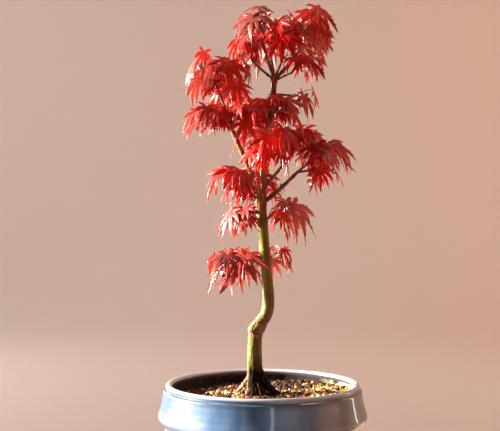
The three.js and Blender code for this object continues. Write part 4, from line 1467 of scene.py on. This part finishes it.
def widened(bm, inner, places, slot):
    """Extrudes a chain sideways to its places, and returns the new chain."""
    spine = [bm.edges.get(pair) for pair in zip(inner, inner[1:])]
    made = bmesh.ops.extrude_edge_only(bm, edges=spine)["geom"]
    outer = [vert for vert in made if isinstance(vert, bmesh.types.BMVert)]
    outer.sort(key=lambda vert: vert.co.x)
    for vert, place in zip(outer, places):
        vert.co = (*place, 0)
    for face in {face for vert in inner for face in vert.link_faces}:
        if all(corner in inner or corner in outer for corner in face.verts):
            face.material_index = slot
    return outer


def add_lobe(bm, i):
    middles, edges = lobe_stations(i)
    chain = midrib(bm, middles)
    lobe = set(chain)
    thin = [RIB_WIDTH * (1 - 0.7 * k / len(middles)) for k in range(len(middles))]
    for side, edge in zip((-1, 1), edges):
        ribs = [(x, side * min(abs(y), rib)) for x, rib, (_, y) in zip(middles, thin, edge)]
        rib = widened(bm, chain, ribs, RIB_SLOT)
        lobe.update(rib, widened(bm, rib, edge, BLADE_SLOT))
    turn = Matrix.Rotation(math.radians(LOBE_ANGLES[i]), 4, "Z")
    bmesh.ops.transform(bm, matrix=turn, verts=list(lobe))


def flat_leaf():
    bm = bmesh.new()
    lift = bm.verts.layers.float.new("from_midrib")
    lobe = bm.verts.layers.int.new("lobe")
    for i in range(len(LOBE_ANGLES)):
        before = set(bm.verts)
        add_lobe(bm, i)
        for vert in set(bm.verts) - before:
            angle = math.radians(LOBE_ANGLES[i])
            vert[lift] = -math.sin(angle) * vert.co.x + math.cos(angle) * vert.co.y
            vert[lobe] = i
    bmesh.ops.remove_doubles(bm, verts=bm.verts, dist=1e-5)
    bmesh.ops.recalc_face_normals(bm, faces=bm.faces)
    if sum(face.normal.z for face in bm.faces) < 0:
        bmesh.ops.reverse_faces(bm, faces=bm.faces)
    return as_mesh(bm, "flat_leaf")


pattern = flat_leaf()
print("faces of the flat leaf:", len(pattern.polygons))

# %% [markdown]
# ## Bending and colouring the leaves
#
# Each leaf is the flat one, bent by the same function that gave its beads: lobes sag towards
# the ground as they run out, and fold up a little about their midribs. Small differences from
# lobe to lobe keep any two leaves from matching. Maple leaves that get the sun turn the
# deepest red, so a leaf's tint follows how much of the low sun it gets, with some chance. This
# is also painted light: the light tints of shaded leaves stand in for light that shines through
# them, and the dark tints of sunlit leaves hold back the sun. Each tint is one joined mesh with
# plain colours: a deep upper side and a paler under side.

# %% Bending one leaf
FREE_FROM = 0.2  # lobes stray from the pattern beyond this share of the leaf
SWING, ROLL, CURL = 0.1, 0.5, 0.08  # how far: sideways, about the midrib, and up or down
LOBE_REACH, FOLDS = (0.86, 1.03), (0.12, 0.5)
TEETH, TOOTH_LIFT, PLAIN_WITHIN = 110, 0.006, 0.03


class Pattern:
    """The flat leaf's vertices as arrays: angle, distance, lobe and offset from the midrib."""

    def __init__(self, mesh):
        flat = np.array([vert.co for vert in mesh.vertices])
        self.angle = np.arctan2(flat[:, 1], flat[:, 0])
        self.far = np.hypot(flat[:, 0], flat[:, 1])
        self.aside = np.array([value.value for value in mesh.attributes["from_midrib"].data])
        self.lobe = np.array([value.value for value in mesh.attributes["lobe"].data])
        self.tooth = np.sign(np.sin(self.far * TEETH)) * (np.abs(self.aside) > PLAIN_WITHIN)


flat = Pattern(pattern)


def bent_points(leaf, rng):
    """The places of a leaf's vertices, in millimetres."""
    free = np.clip((flat.far - FREE_FROM) / (1 - FREE_FROM), 0, 1)
    swing = rng.normal(0, SWING, len(LOBE_ANGLES))[flat.lobe]
    reach = rng.uniform(*LOBE_REACH, len(LOBE_ANGLES))[flat.lobe]
    roll = rng.normal(0, ROLL, len(LOBE_ANGLES))[flat.lobe]
    curl = rng.normal(0, CURL, len(LOBE_ANGLES))[flat.lobe]
    fold = rng.uniform(*FOLDS)
    angle = flat.angle + swing * free
    far = flat.far * (1 + (reach - 1) * free)
    lift = fold * np.abs(flat.aside) + roll * flat.aside * free + curl * free**2
    lift = lift + TOOTH_LIFT * flat.tooth
    return leaf.points(angle, far * leaf.length, 0.0, lift * leaf.length)


# %% How much sun a leaf gets
SHADE_LENGTH, SHADE_WIDTH = 130, 11  # how far off and how far aside a bead still shades a leaf
SHADE_DEPTH = 16  # this many beads make deep shade


def sunlit(leaf):
    """From 0 in deep shade to 1 in the open, by the beads between a leaf and the sun."""
    centre = leaf.heel + leaf.axis * leaf.length * 0.4
    way = unit(np.array(Vector(SUN_FROM) - Vector(MIDDLE)))
    ahead = grown.at - centre
    along = ahead @ way
    aside = np.linalg.norm(ahead - along[:, None] * way, axis=1)
    between = (along > leaf.length * 0.5) & (along < SHADE_LENGTH) & (aside < SHADE_WIDTH)
    return math.exp(-between.sum() / SHADE_DEPTH)


# %% The tints
# Partly painted light: the light tints go to shaded leaves, the dark ones to sunlit leaves.
TINTS = (  # name, upper side, under side, from deep shade to full sun
    ("flame", 0xD6401A, 0xD46C50),
    ("vermilion", 0xC82412, 0xCE6656),
    ("scarlet", 0xB6140E, 0xCC6A60),
    ("crimson", 0xA61C18, 0xCA7670),
    ("garnet", 0x9C3430, 0xC68682),
    ("wine", 0x863C38, 0xBC8A86),
)
SHARES = (0.04, 0.14, 0.28, 0.28, 0.16, 0.1)  # of the leaves, for each tint


def tint_numbers(rng):
    """Deals a tint to every leaf, by its rank in sunlight with some chance in it."""
    light = np.array([sunlit(leaf) for leaf in leaves])
    chance = rng.normal(0, 0.34, len(leaves))
    rank = np.argsort(np.argsort(light + chance)) / len(leaves)
    return np.searchsorted(np.cumsum(SHARES[:-1]), rank)


# %% The leaves, one mesh for each tint
LEAF_THICKNESS = 0.28
BLADE = {  # what both sides of every blade share
    "Specular_IOR_Level": 0.12, "Coat_Weight": 0.12, "Coat_Roughness": 0.3,
    "Subsurface_Weight": 0.3, "Subsurface_Radius": (1.0, 0.4, 0.3), "Subsurface_Scale": 0.0015,
}


def leaf_finishes(name, upper, under):
    top = Finish(f"{name}_leaf", upper, Roughness=0.36, **BLADE)
    top.bump(top.cloud(900, detail=3), 0.0002, 0.5)
    below = Finish(f"{name}_leaf_under", under, Roughness=0.45, **BLADE)
    rib = Finish(f"{name}_rib", upper, Roughness=0.4)
    return [top.material, below.material, rib.material, rib.material]


def add_leaves():
    rng = np.random.default_rng(11)
    heaps = [bmesh.new() for _ in TINTS]
    for leaf, number in zip(leaves, tint_numbers(rng)):
        for vert, place in zip(copied(heaps[number], pattern), bent_points(leaf, rng)):
            vert.co = place
    for bm, (name, upper, under) in zip(heaps, TINTS):
        piece = finished(bm, f"{name}_leaves", leaf_finishes(name, upper, under))
        solid = piece.modifiers.new("thickness", "SOLIDIFY")
        solid.thickness = LEAF_THICKNESS * MM
        solid.offset = 0.0
        solid.material_offset = 1
        dressed(piece, "leaf", *mass_names)


add_leaves()
bpy.data.meshes.remove(pattern)
